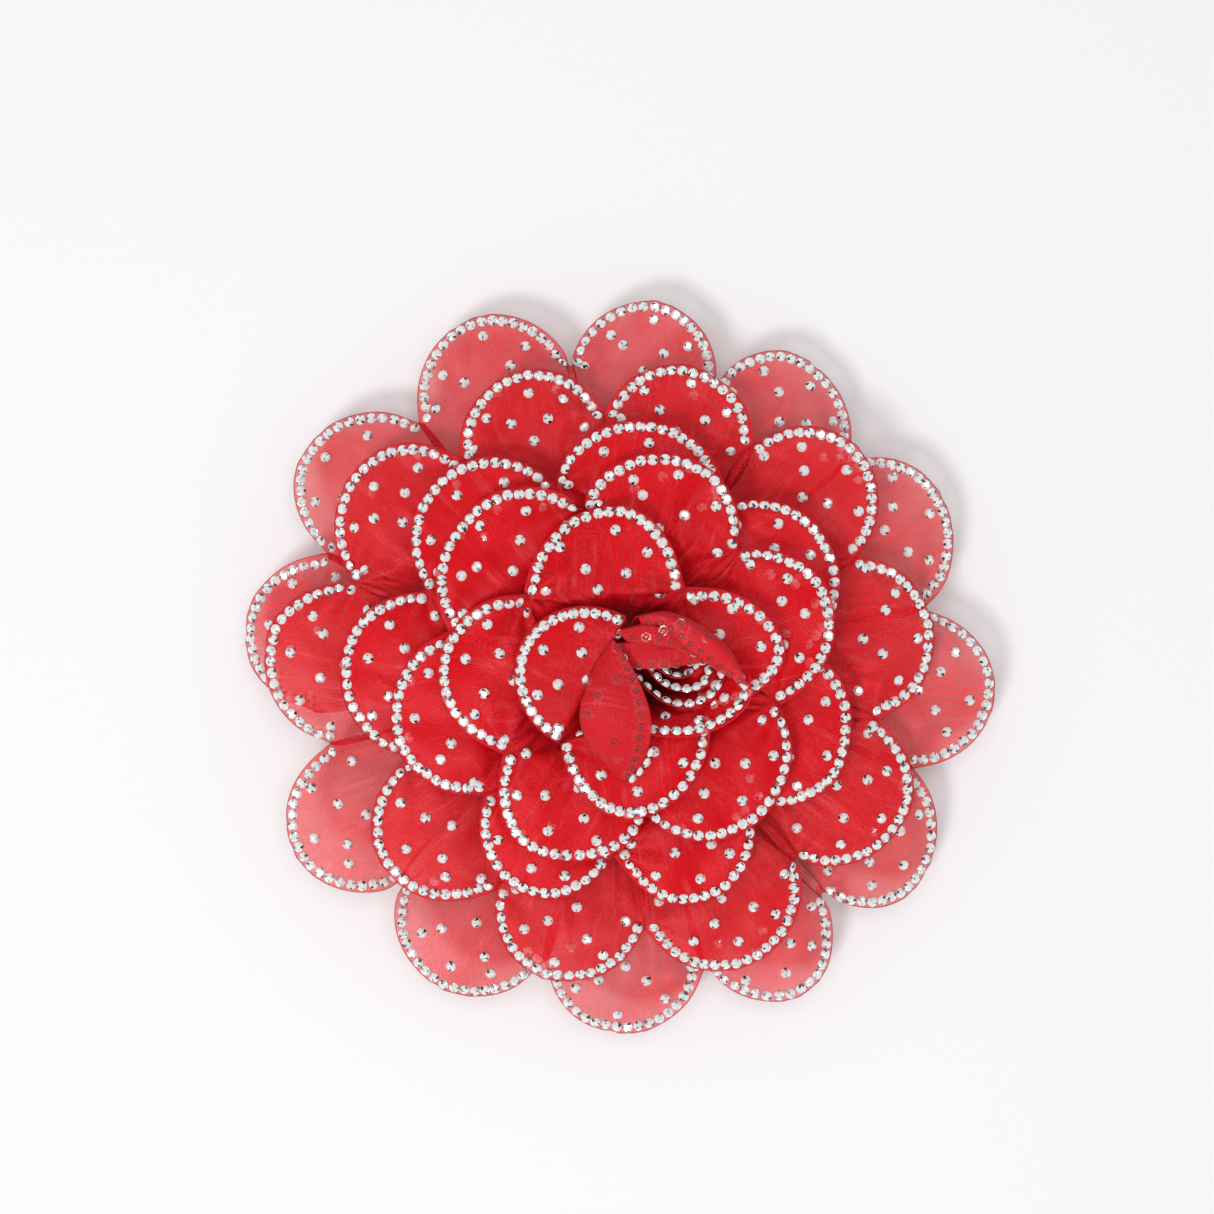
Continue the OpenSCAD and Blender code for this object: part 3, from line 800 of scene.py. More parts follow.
def crystals(name, centres, normals):
    """One mesh of crystals, each lifted clear of the cloth, turned, and tipped a few degrees at
    random. A facet's painted glint grey is a sine of two or three times its angle round the crystal,
    with a little noise, and the table's wedges lie closer to white."""
    count = len(centres)
    tipped = unit(normals + rng.normal(0, 0.05, (count, 3)))
    mesh_data = copies(CRYSTAL, centres + tipped * CLEARANCE, tipped, rng.uniform(0, 6.28, count))
    piece = build(name, *mesh_data, crystal, smooth=False)
    lobes, phase = rng.integers(2, 4, (count, 1)), rng.uniform(0, 6.28, (count, 1))
    # Painted glints: each facet's grey stands in for the light that the foil mirrors back.
    greys = MEAN_GLINT + GLINT_SWING * np.sin(lobes * FACET_ANGLE + phase)
    greys = greys + rng.normal(0, GLINT_CHANCE, greys.shape)
    greys[:, :WEDGES] = 0.3 + 0.7 * greys[:, :WEDGES]
    facet_glint = piece.data.attributes.new("facet_glint", "FLOAT", "FACE")
    facet_glint.data.foreach_set("value", np.clip(greys, 0, 1).ravel().astype(np.float32))
    print(f"{name}: {count} crystals")
    return piece


print("facet angles from", FACET_ANGLE.min().round(2), "to", FACET_ANGLE.max().round(2))

# %% Crystals along the ribbon
EDGE_MARGIN, PITCH = 1.4, 2.14
LOOSE = np.array([[0.05, 10.8], [-0.53, 7.7], [0.56, 6.8], [-0.27, 5.2], [0.27, 4.1], [-0.03, 0.7],
                  [-0.8, 1.2], [0.75, -1.1]])


def spaced(line):
    """For a line of points: the lengths at which crystals stand along it, evenly and centred, and
    the length up to each point."""
    length = np.concatenate([[0], np.cumsum(np.linalg.norm(np.diff(line, axis=0), axis=1))])
    count = int(length[-1] / PITCH)
    return (np.arange(count) + 0.5) * length[-1] / count, length


def seats(k):
    """Places on petal k, as x and y of petal_parts: an even row along the half-ellipse one margin
    inside the outline, from notch to notch, and the loose crystals, each moved a little from its
    mean place."""
    half = np.linalg.norm(notch_xy[k + 1] - notch_xy[k]) / 2
    psi = np.linspace(0, np.pi, 181)
    row = np.column_stack([-(half - EDGE_MARGIN) * np.cos(psi), (REACH[k] - EDGE_MARGIN) * np.sin(psi)])
    at, length = spaced(row)
    edge = np.column_stack([np.interp(at, length, row[:, 0]), np.interp(at, length, row[:, 1])])
    edge = edge + rng.normal(0, 0.06, edge.shape)
    loose = LOOSE * [half, REACH[k] / MEAN_REACH] + rng.uniform(-0.9, 0.9, LOOSE.shape)
    return np.vstack([edge, loose]), half


def on_ribbon(k, xy, half):
    """The ribbon's (s, v) for places x, y on petal k: u from the cosine rule of petal_parts, v as
    the share of the width there."""
    u = np.arccos(np.clip(-xy[:, 0] / half, -0.999, 0.999)) / np.pi
    return k + u, (xy[:, 1] + THROAT) / (THROAT + REACH[k] * np.sin(np.pi * u))


def crystals_on_turn(i):
    """The crystals of all petals of turn i, seated on the wrinkled ribbon with its own normals."""
    centres, normals = [], []
    for k in range(TURN_START[i], TURN_START[i + 1]):
        s, v = on_ribbon(k, *seats(k))
        centres.append(ribbon(s, v))
        normals.append(upward(ribbon, s, v))
    return crystals(f"crystals_turn_{i + 1}", np.vstack(centres), np.vstack(normals))


turn_crystals = [crystals_on_turn(i) for i in range(TURNS_OF_RIBBON)]
print("crystals on the ribbon:", sum(len(c.data.polygons) for c in turn_crystals) // len(CRYSTAL[1]))

# %% [markdown]
# ## The bud
# In the middle the ribbon is rolled up. Its petals stand almost upright: those on the near side lean
# outward and show their crystals, while the others fold over the middle and show their backs, where
# the glue under each crystal has made a small dark ring. No single formula gives eight petals that
# fold differently, so each is a net of a few points, foot to edge and side to side, and a smooth
# curved surface runs through the net (a Catmull-Rom spline both ways). A ninth petal lies open
# beside them, and has the ribbon's own formula on a chord of its own.


# %% Surface through a net of points
def spline_weights(t, count):
    """Catmull-Rom weights of count points for each t from 0 to 1: between two points the curve is
    the cubic that passes through both, with slopes set by their neighbours; end points stand in for
    the missing neighbours."""
    t = np.asarray(t, float) * (count - 1)
    i = np.clip(np.floor(t).astype(int), 0, count - 2)
    f = t - i
    parts = np.stack([-f + 2 * f**2 - f**3, 2 - 5 * f**2 + 3 * f**3, f + 4 * f**2 - 3 * f**3,
                      -(f**2) + f**3], -1) / 2
    weights = np.zeros(t.shape + (count,))
    for n in range(4):
        at = np.clip(i + n - 1, 0, count - 1)
        np.add.at(weights, (*np.indices(t.shape), at), parts[..., n])
    return weights


def net_surface(net):
    """A function of (u, v): u runs side to side and v from foot to edge, both from 0 to 1, for any
    arrays of the same shape."""
    net = np.asarray(net, float)
    def surface(u, v):
        """The weights of both ways, multiplied and summed over the net."""
        across, up = spline_weights(u, net.shape[1]), spline_weights(v, net.shape[0])
        return np.einsum("...r,...c,rcx->...x", up, across, net) + WINDING_AXIS
    return surface


def side_of(surface, u, v, step=0.01):
    """The normal of a net's surface: its direction along u crossed with its direction along v."""
    along = surface(np.minimum(u + step, 1), v) - surface(np.maximum(u - step, 0), v)
    across = surface(u, np.minimum(v + step, 1)) - surface(u, np.maximum(v - step, 0))
    return unit(np.cross(along, across))


print("a net's weights add up to", spline_weights(0.3, 5).sum().round(6))

# %% The nets of the bud's petals
BUD_NETS = {
    "bud_right_petal": [
        [(1.5, 4, 18), (4, 4, 18), (6.2, 2.8, 18), (7.4, 0.8, 18), (7.6, -1.2, 18)],
        [(2.0, 7.0, 34), (6.5, 7.8, 34), (11.5, 6.6, 34), (15.0, 3.5, 34), (16.4, -1, 34)],
        [(2.8, 9.8, 44), (8, 10.9, 44.5), (14, 9.2, 44.5), (19.8, 4.6, 44), (23.0, -1.2, 43)],
        [(3.8, 10.1, 47.3), (8.3, 10.7, 48.6), (14, 8.5, 49), (20.3, 3.3, 48.5), (24.2, -2.3, 46.6)],
        [(4.0, 9.6, 47.6), (8.3, 9.6, 49.0), (13.4, 6.5, 49.2), (19.0, 2.0, 48.7), (24.3, -2.5, 46.8)],
        [(4.2, 9.0, 47.2), (8.3, 8.5, 48.4), (12.6, 4.8, 48.3), (17.4, 0.9, 47.9), (24.2, -2.8, 46.6)]],
    "bud_front_petal": [
        [(6.8, -0.5, 18), (6.5, -2.5, 18), (5.2, -4.2, 18), (3.2, -5, 18), (1, -4.8, 18)],
        [(13.5, 0, 32), (13, -3, 32), (11, -5.5, 32), (8, -6.5, 32), (4.5, -6.3, 32)],
        [(20.5, 0, 42), (19.6, -3.6, 41.5), (16.2, -7.0, 41), (11.5, -8.6, 40.5), (6, -8.4, 40)],
        [(24.6, -0.9, 46.5), (24.6, -5.6, 45.8), (19.8, -10.3, 45), (12.6, -12.4, 44.6),
         (5.0, -12.0, 44.2)]],
    "bud_leaf_petal": [
        [(0.5, 3.5, 18), (-1.8, 1.5, 18), (-2.4, -1, 18), (-1.6, -3.5, 18), (0.5, -5, 18)],
        [(-1.5, 5.0, 34), (-4.0, 1, 34), (-4.9, -5, 34), (-3.9, -10, 33), (-1, -14.5, 32)],
        [(-1.6, 5.8, 44.5), (-5.2, 0, 45), (-7.2, -7, 45), (-5.7, -13.5, 43.5), (0.2, -20.2, 41)],
        [(-1.2, 5.9, 46.8), (-3.9, 0.0, 47.6), (-6.3, -6.6, 48.0), (-4.7, -14.0, 46.3), (0.6, -20.7, 42.2)],
        [(-0.9, 5.9, 47.0), (-0.4, -0.6, 48.6), (-0.4, -7, 49.1), (-0.3, -14, 47.4), (1.0, -20.9, 42.5)],
        [(-0.8, 5.8, 46.8), (3.4, -0.9, 48.0), (6.1, -9.0, 48.0), (5.0, -16.2, 45.6), (1.2, -21, 42.4)]],
    "bud_upper_fold": [
        [(1.0, 3.0, 18), (3, 3.2, 18), (5, 2.4, 18), (6.2, 1.0, 18)],
        [(0.5, 6.2, 36), (5, 7.4, 36), (10, 6.2, 36), (13.5, 3.6, 36)],
        [(-0.6, 7.2, 45.4), (5.2, 8.9, 45.9), (11.2, 7.4, 46.0), (16.4, 3.8, 45.4)],
        [(0.4, 6.8, 46.2), (5.8, 7.4, 46.9), (10.8, 6.2, 46.9), (16.2, 3.2, 46.0)],
        [(1.6, 5.6, 45.9), (6.4, 5.1, 46.8), (10.2, 4.3, 46.7), (15.6, 2.4, 46.0)]],
    "bud_lower_fold": [
        [(1.4, 2.0, 18), (3.4, 2.2, 18), (5, 1.6, 18), (6, 0.4, 18)],
        [(-0.6, 3.6, 34), (5, 4.8, 34), (10, 4.1, 34), (13, 2.2, 34)],
        [(-0.6, 5.0, 44.0), (5.8, 5.9, 44.6), (11.6, 5.1, 44.6), (16.9, 3.2, 44.0)],
        [(0.2, 3.9, 45.0), (6.4, 4.4, 45.7), (12.4, 3.9, 45.7), (17.2, 2.9, 44.8)],
        [(2.4, 0.6, 44.7), (7.2, 0.5, 45.2), (13.2, 1.2, 45.2), (17.6, 2.0, 44.6)]],
    "bud_inner_cup": [
        [(6.2, 1.4, 18), (6.4, -1, 18), (4.6, -3, 18), (2.6, -3.4, 18), (1.0, -2.0, 18)],
        [(14.6, 2.6, 34), (14.2, -1.8, 34), (10.4, -4.4, 34), (5.8, -4.4, 34), (1.4, -1.0, 34)],
        [(18.4, 2.6, 41), (17.6, -2.2, 41), (13.2, -5.0, 40.6), (7.6, -5.0, 40.6), (1.8, -0.8, 41.2)],
        [(20.4, 2.0, 44.8), (18.8, -3.8, 44.4), (13.4, -6.9, 44.0), (7.6, -5.0, 44.2), (2.2, -0.4, 45.0)]],
    "bud_centre_cup": [
        [(5.6, 1.2, 18), (5.4, -0.6, 18), (4.2, -1.8, 18), (3, -1.8, 18), (2, -0.6, 18)],
        [(13.4, 2.2, 34), (12.6, -0.6, 34), (10.6, -2.0, 34), (7.2, -1.6, 34), (4.2, 1.2, 34)],
        [(16.6, 2.4, 41), (15.4, -1.2, 41), (12.0, -2.6, 40.6), (8.2, -1.8, 40.6), (4.6, 1.6, 41)],
        [(18.0, 2.0, 43.6), (16.4, -2.6, 43.2), (11.8, -3.7, 43.0), (8.0, -2.4, 43.2), (4.8, 1.4, 43.9)]],
    "bud_heart": [
        [(5.0, 0.6, 18), (4.6, -0.2, 18), (3.8, -0.8, 18), (3, -0.6, 18), (2.6, 0.4, 18)],
        [(12.6, 2.8, 33), (11.6, 0.8, 33), (9.6, 0.2, 33), (7.4, 0.8, 33), (5.8, 2.8, 33)],
        [(15.2, 3.0, 39), (13.8, 0.6, 39), (11.0, -0.4, 39), (8.4, 0.4, 39), (6.0, 3.2, 39)],
        [(16.2, 3.2, 42.6), (14.6, 0.0, 42.6), (11.2, -1.2, 42.6), (8.0, -0.2, 42.6), (5.6, 3.2, 42.6)]],
}
print("bud petals:", ", ".join(BUD_NETS))

# %% Roll the bud
BUD_GRID = (56, 60)
BUD_CHORD, BUD_WALL = 27.0, 0.22
DULL_SIDE_UP = ("bud_leaf_petal", "bud_upper_fold", "bud_lower_fold", "bud_right_petal")
bud_surface = {}


def bud_wrinkles(name):
    """A net's surface moved along its normal by slow waves and three long creases that run from
    foot to edge."""
    bare = net_surface(BUD_NETS[name])
    at, deep, phase = rng.uniform(0.1, 0.9, 3), rng.uniform(-0.22, 0.22, 3), rng.uniform(0, 6.28, 3)
    def surface(u, v):
        """The bare net, and the height along its normal, which vanishes at both sides."""
        height = 0.16 * np.sin(9 * u + phase[0]) * np.sin(7 * v + phase[1])
        height = height + 0.1 * np.sin(17 * u - 5 * v + phase[2])
        for x, d in zip(at, deep):
            crease = np.exp(-(((u - x - 0.1 * (v - 0.5)) / 0.03) ** 2))
            height = height + d * crease * np.sin(np.pi * np.clip(v, 0, 1))
        height = height + 0.4 * np.sin(50 * u + phase[0]) * np.clip(0.5 - v, 0, 1)
        height = height * np.sin(np.pi * np.clip(u, 0, 1)) ** 0.5
        return bare(u, v) + side_of(bare, u, v) * height[..., None]
    return surface


def bud_petal(name):
    """The grid of one bud petal, finer towards its edge."""
    surface = bud_surface[name] = bud_wrinkles(name)
    u = np.linspace(0, 1, BUD_GRID[0])[:, None]
    t = np.linspace(0, 1, BUD_GRID[1])[None, :]
    u, v = np.broadcast_arrays(u, t + 0.1 * np.sin(np.pi * t))
    points = surface(u, v)
    width = np.linalg.norm(np.diff(points, axis=1), axis=-1)
    up = np.concatenate([np.zeros((BUD_GRID[0], 1)), np.cumsum(width, 1)], 1)
    cloth = np.stack([u * BUD_CHORD, up], -1)
    side_seen = organza_dull if name in DULL_SIDE_UP else organza_shiny
    return sheet_of(name, points, cloth, side_seen, up[:, -1:] - up, BUD_WALL)


bud = {name: bud_petal(name) for name in BUD_NETS}
print(len(bud), "petals are rolled into the bud")

# %% The petal that lies open beside the bud
OPEN_FROM, OPEN_TO = np.array([-11.6, -13.8, 41.6]), np.array([1.4, 10.4, 43.4])
OPEN_FOOT, OPEN_FOOT_R, OPEN_FOOT_Z = np.array([2.4, -1.0]), 5.6, 17
OPEN_REACH = 15.2
OPEN_HALF = np.linalg.norm(OPEN_TO[:2] - OPEN_FROM[:2]) / 2


def open_y(u, v):
    """The place out from the chord, as in petal_parts."""
    return v * (THROAT + OPEN_REACH * np.sin(np.pi * u)) - THROAT


def open_petal(u, v):
    """The ribbon's own formula on a chord from OPEN_FROM to OPEN_TO: the foot bends up to the
    chord, and half an ellipse runs on past it. Then a slow swell, and one slanting crease."""
    a, b, foot = OPEN_FROM, OPEN_TO, OPEN_FOOT
    ahead = unit(b[:2] - a[:2])
    out = np.array([-ahead[1], ahead[0]])
    first = np.arctan2(*(a[:2] - foot)[::-1])
    last = np.arctan2(*(b[:2] - foot)[::-1]) - FULL_TURN
    y = open_y(u, v)
    bend = np.pi / 2 * np.clip((y + THROAT) / THROAT, 0, 1)
    past = np.maximum(y, 0)
    base = foot + OPEN_FOOT_R * heading(first * (1 - u) + last * u)
    brim = (a[:2] + b[:2]) / 2 - ahead * (OPEN_HALF * np.cos(np.pi * u))[..., None]
    flat = base * np.cos(bend)[..., None] + brim * (1 - np.cos(bend))[..., None] + out * past[..., None]
    z = OPEN_FOOT_Z + (a[2] * (1 - u) + b[2] * u - OPEN_FOOT_Z) * np.sin(bend)
    z = z + ARCH * np.sin(np.pi * u) * (2 * bend / np.pi) ** 2 - DROOP * (past / OPEN_REACH) ** 2
    z = z + 0.35 * np.sin(3 + 5 * u) * np.sin(np.pi * u) * np.sin(4 * v)
    z = z + 0.5 * np.exp(-(((u - 0.62 - 0.2 * v) / 0.05) ** 2)) * np.sin(np.pi * v)
    return np.concatenate([flat, z[..., None]], -1) + WINDING_AXIS


u, v = np.broadcast_arrays(np.linspace(0, 1, 65)[:, None], np.linspace(0, 1, 36)[None, :])
to_edge = from_edge(-np.cos(np.pi * u), open_y(u, v), OPEN_REACH)
cloth = np.stack([u * RIBBON_SCALLOP, open_y(u, v) + THROAT], -1)
bud["bud_open_petal"] = sheet_of("bud_open_petal", open_petal(u, v), cloth, organza_shiny, to_edge)
print(f"its chord is {2 * OPEN_HALF:.1f} mm")

# %% Places along a bud petal's edge, and the glue behind a crystal
def along_edge(surface, v, first, last):
    """Shares u of evenly spaced places along the line v of a surface, from share first to share
    last."""
    u = np.linspace(first, last, 200)
    return np.interp(*spaced(surface(u, np.full(200, v))), u)


def ring_shape(radius=0.62, width=0.26, height=0.1):
    """A flat ring of 10 sides: outer foot, outer top, inner top and inner foot, for the glue that
    shows through behind a crystal."""
    angles = FULL_TURN * np.arange(10) / 10
    rings = [(radius, 0), (radius - 0.05, height), (radius - width, height), (radius - width, 0)]
    points = np.vstack([on_circle(angles, r, z) for r, z in rings])
    return points, grid_corners(4, 10, round_rows=True, round_cols=True)[:, ::-1].tolist()


glue_ring, tree, shader = new_material("glue behind a crystal")
speck = effect(tree, GRAIN, in_mm(tree), Fine_scale=4.0)["Fine"]
dark = ramp(tree, speck, (0.3, (0.16, 0.012, 0.012)), (0.7, (0.34, 0.05, 0.04)))
put(tree, shader, {"Base Color": dark, "Roughness": 0.35})
RING = ring_shape()
print("one glue ring:", len(RING[0]), "points")

# %% Crystals of the rolled petals
FACING_UP = {"bud_front_petal": (0.90, 0.05, 0.99), "bud_inner_cup": (0.93, 0.08, 0.97),
             "bud_centre_cup": (0.93, 0.06, 0.97), "bud_heart": (0.92, 0.1, 0.9)}
SHOWING_BACKS = {"bud_right_petal": (0.885, 0.04, 0.96), "bud_leaf_petal": (0.925, 0.02, 0.98),
                 "bud_upper_fold": (0.86, 0.05, 0.95), "bud_lower_fold": (0.94, 0.05, 0.95)}
LOOSE_ON_BUD = {"bud_front_petal": [(0.32, 0.74), (0.62, 0.80), (0.86, 0.70)],
                "bud_inner_cup": [(0.24, 0.82)],
                "bud_leaf_petal": [(0.28, 0.80), (0.42, 0.68), (0.55, 0.62), (0.72, 0.78)],
                "bud_right_petal": [(0.4, 0.7), (0.6, 0.62)], "bud_upper_fold": [(0.5, 0.68)]}
BUD_MIDDLE = np.array([9.0, -1.0, 52.0])
centres, normals, ring_centres, ring_normals = [], [], [], []
for name, (v, first, last) in {**FACING_UP, **SHOWING_BACKS}.items():
    surface = bud_surface[name]
    u = along_edge(surface, v, first, last)
    loose = np.array(LOOSE_ON_BUD.get(name, [])).reshape(-1, 2)
    u, v = np.concatenate([u, loose[:, 0]]), np.concatenate([np.full(len(u), v), loose[:, 1]])
    points, side = surface(u, v), side_of(surface, u, v)
    to_middle = np.sign(np.sum(side * (BUD_MIDDLE - points), -1, keepdims=True))
    face_up = side * np.sign(side[:, 2:])
    if name in SHOWING_BACKS:
        centres.append(points - face_up * 0.3)
        normals.append(-face_up)
        ring_centres.append(points + face_up * 0.24)
        ring_normals.append(face_up)
    else:
        centres.append(points + side * to_middle * 0.15)
        normals.append(side * to_middle)
print(len(FACING_UP), "petals show their crystals,", len(SHOWING_BACKS), "show glue rings")

# %% Crystals on the leaf petal's rim and on the open petal
OPEN_ROW = 20
leaf = bud_surface["bud_leaf_petal"]
u = along_edge(leaf, 1.0, 0.66, 0.98)
v = np.ones(len(u))
beyond = unit(leaf(u, v) - leaf(u, v - 0.03))
centres.append(leaf(u, v) + beyond * 0.35 - np.array([0, 0, 0.25]))
normals.append(unit(beyond + np.array([0.1, -0.1, 0.75])))
psi = (np.arange(OPEN_ROW) + 0.5) * np.pi / OPEN_ROW
x = np.concatenate([-(OPEN_HALF - EDGE_MARGIN) * np.cos(psi), OPEN_HALF * LOOSE[:, 0]])
y = np.concatenate([(OPEN_REACH - EDGE_MARGIN) * np.sin(psi), LOOSE[:, 1]])
u = np.arccos(-x / OPEN_HALF) / np.pi
v = (y + THROAT) / (THROAT + OPEN_REACH * np.sin(np.pi * u))
centres.append(open_petal(u, v))
normals.append(side_of(open_petal, u, v))
bud_crystals = crystals("crystals_bud", np.vstack(centres), np.vstack(normals))
ring_centres, ring_normals = np.vstack(ring_centres), np.vstack(ring_normals)
ring_mesh = copies(RING, ring_centres, ring_normals, np.zeros(len(ring_centres)))
glue_rings = build("glue_rings_bud", *ring_mesh, glue_ring)
print(f"glue_rings_bud: {len(ring_centres)} rings")

# %% [markdown]
# ## The back: felt, stiff base and stitches
# Nothing of the back shows from above. Behind such flowers is a disc of felt that hides the ends of
# the thread, whip-stitched to the stiff disc that the ribbon is sewn to. Felt has no weave, only
# matted fibres, and its cut rim is soft and slightly uneven, so its outline wanders a little and its
# edge is rounded. Felt could be grown as hair, but noise in the surface and colour is enough here.


# %% Discs turned from a profile
def turned_disc(name, profile, material, wander, waves=(5, 11, 23), sides=160):
    """A closed disc: a profile of (radius, z) from the middle of the lower side to the middle of
    the upper side, carried round the axis. The radius wanders by sines of the angle, most at the
    rim, and a single point closes the middle of each side."""
    profile = np.asarray(profile, float)
    a = FULL_TURN * np.arange(sides) / sides
    wobble = sum(np.sin(n * a + n) / (1 + i) for i, n in enumerate(waves)) * wander
    share = (profile[:, 0] / profile[:, 0].max()) ** 4
    r = profile[:, :1] + share[:, None] * wobble[None]
    z = np.broadcast_to(profile[:, 1:], r.shape) + 0.35 * wander * np.sin(7 * a + 1)[None] * share[:, None]
    rings = np.stack([r * np.cos(a), r * np.sin(a), z], -1)
    cells = grid_corners(len(profile), sides, round_cols=True)[:, ::-1]
    low, high = rings.size // 3, rings.size // 3 + 1
    points = np.vstack([rings.reshape(-1, 3), [(0, 0, profile[0, 1]), (0, 0, profile[-1, 1])]])
    ring = np.arange(sides)
    under = np.column_stack([np.full(sides, low), np.roll(ring, -1), ring])
    over = np.column_stack([np.full(sides, high), ring + low - sides, np.roll(ring, -1) + low - sides])
    corners = np.concatenate([cells.ravel(), under.ravel(), over.ravel()])
    counts = np.concatenate([np.full(len(cells), 4), np.full(2 * sides, 3)])
    print(f"{name}: {len(points)} points")
    return build(name, points, corners, counts, material)


def soft_profile(radius, low, high, edge):
    """A disc's half section with a rim rounded to the radius edge, and rings on both faces for the
    surface to lie on."""
    turn = np.linspace(-np.pi / 2, np.pi / 2, 9)
    middle, half = (low + high) / 2, (high - low) / 2
    rim = np.column_stack([radius - edge + edge * np.cos(turn), middle + half * np.sin(turn)])
    faces = np.linspace(1.5, radius - edge - 0.4, 12)
    under = np.column_stack([faces, np.full(12, low)])
    over = np.column_stack([faces[::-1], np.full(12, high)])
    return np.vstack([under, rim, over])


felt, tree, shader = new_material("red felt")
place = in_mm(tree)
fibres = effect(tree, GRAIN, place, Fine_scale=3.2, Broad_scale=0.18, Amount=1.0)
matted = add(tree, "ShaderNodeTexVoronoi", {"Vector": place, "Scale": 2.4, "Randomness": 1.0},
             feature="DISTANCE_TO_EDGE").outputs["Distance"]
colour = ramp(tree, fibres["Fine"], (0.3, (0.30, 0.008, 0.014)), (0.55, (0.50, 0.018, 0.030)),
              (0.75, (0.66, 0.06, 0.07)))
colour = blended(tree, sums(tree, "MULTIPLY", fibres["Broad"], 0.35), colour, (0.62, 0.03, 0.05, 1))
put(tree, shader, {"Base Color": colour, "Roughness": 0.95, "Specular IOR Level": 0.15,
                   "Sheen Weight": 0.5, "Sheen Roughness": 0.6})
bumped(tree, shader, sums(tree, "ADD", fibres["Height"], sums(tree, "MULTIPLY", matted, 0.6)), 0.9, 0.35)

FELT_LOW, FELT_HIGH, FELT_R, DISC_HIGH, DISC_R = 10.2, 11.8, 32.0, 12.6, 36.0
felt_section = soft_profile(FELT_R - 0.3, FELT_LOW, FELT_HIGH - 0.02, 0.7)
felt_disc = turned_disc("felt_disc", felt_section, felt, 0.13)

# %% Stiff base
buckram, tree, shader = new_material("stiffened base cloth")
place = in_mm(tree)
weave = effect(tree, WEAVE, place, Threads_per_mm=0.9, Streak=0.6)
colour = ramp(tree, weave["Shade"], (0.15, (0.22, 0.006, 0.010)), (0.85, (0.52, 0.020, 0.034)))
put(tree, shader, {"Base Color": colour, "Roughness": 0.75})
bumped(tree, shader, weave["Height"], 0.8, 0.25)
base_section = soft_profile(DISC_R - 0.1, FELT_HIGH, DISC_HIGH, 0.25)
base_disc = turned_disc("base_disc", base_section, buckram, 0.04)
print(f"the back is {2 * FELT_R:.0f} mm of felt under {2 * DISC_R:.0f} mm of stiff base")

# %% [markdown]
# ## Stitches
# A stitch is a short piece of twisted thread that arches over the cloth and dives into it at both
# ends. A tube along an arc gives it, with the twist as slanting ridges in its surface.


# %% Thread
thread, tree, shader = new_material("sewing thread")
place = in_mm(tree)
twist = effect(tree, WEAVE, place, Threads_per_mm=2.6, Streak=0.8)
colour = ramp(tree, twist["Shade"], (0.2, (0.42, 0.010, 0.020)), (0.8, (0.88, 0.07, 0.09)))
put(tree, shader, {"Base Color": colour, "Roughness": 0.55, "Sheen Weight": 0.3})
bumped(tree, shader, twist["Height"], 0.8, 0.1)
STEPS, SIDES = 13, 8


def stitches(name, starts, ends, lift, radius=0.26):
    """Stitches from each start to each end: the middle line is an arch, half a sine high, and the
    radius shrinks at both ends. All are one mesh, each with its own twist of ridges round it."""
    t = np.linspace(0, 1, STEPS)
    bow = starts[:, None] + (ends - starts)[:, None] * t[:, None]
    bow = bow + lift[:, None] * np.sin(np.pi * t)[:, None]
    ahead = unit(np.gradient(bow, axis=1))
    side = unit(np.cross(ahead, lift[:, None]))
    other = np.cross(ahead, side)
    angles = FULL_TURN * np.arange(SIDES) / SIDES
    ridges = 1 + 0.16 * np.sin(2 * angles + 9 * np.pi * t[:, None])
    r = radius * (0.55 + 0.45 * np.sin(np.pi * t) ** 0.5)[:, None] * ridges
    rings = bow[:, :, None] + r[..., None] * ring_of(angles, side, other)
    count = len(starts)
    cells = grid_corners(STEPS, SIDES, round_cols=True)[:, ::-1]
    step = STEPS * SIDES * np.arange(count)[:, None]
    caps = np.concatenate([np.arange(SIDES)[::-1], (STEPS - 1) * SIDES + np.arange(SIDES)])
    corners = np.concatenate([(cells.ravel() + step).ravel(), (caps + step).ravel()])
    counts = np.concatenate([np.full(len(cells) * count, 4), np.full(2 * count, SIDES)])
    print(f"{name}: {count} stitches")
    return build(name, rings.reshape(-1, 3), corners, counts, thread)


# %% Whip stitches and gathering stitches
WHIP = 40
HALF_STITCH = 1.2
inner_turn, outer_turn = rng.uniform(-0.06, 0.06, WHIP), rng.uniform(0.1, 0.25, WHIP)
step = FULL_TURN / WHIP
inner = on_circle(step * (np.arange(WHIP) + inner_turn), FELT_R - 2.55, FELT_LOW + 0.25)
outer = on_circle(step * (np.arange(WHIP) + outer_turn), FELT_R - 0.35, FELT_LOW + 0.3)
rim_stitches = stitches("rim_stitches", inner, outer, np.tile([0, 0, -0.5], (WHIP, 1)))
angle = np.radians((NOTCHES[:-1, 0] + NOTCHES[1:, 0]) / 2)
foot = np.interp(np.arange(PETALS) + 0.5, *FOOT_R.T)[:, None] - HALF_STITCH
middle = on_circle(angle, foot, DISC_HIGH + 0.02) + WINDING_AXIS
along = HALF_STITCH * np.column_stack([-np.sin(angle), np.cos(angle), 0 * angle])
sewing = stitches("sewing_stitches", middle - along, middle + along,
                  np.tile([0, 0, 0.42], (PETALS, 1)))
print("each gathering stitch is", 2 * HALF_STITCH, "mm long")

# %% [markdown]
# ## The alligator clip
# The clip is cut and bent from thin steel and nickel plated. Its two jaws and the pin keep the shape
# of the CAD model. Stamped steel has no knife edges, so each is a merged copy of its CAD mesh with a
# narrow bevel, which catches a line of light. The spring and the glue get finer shapes of their own.


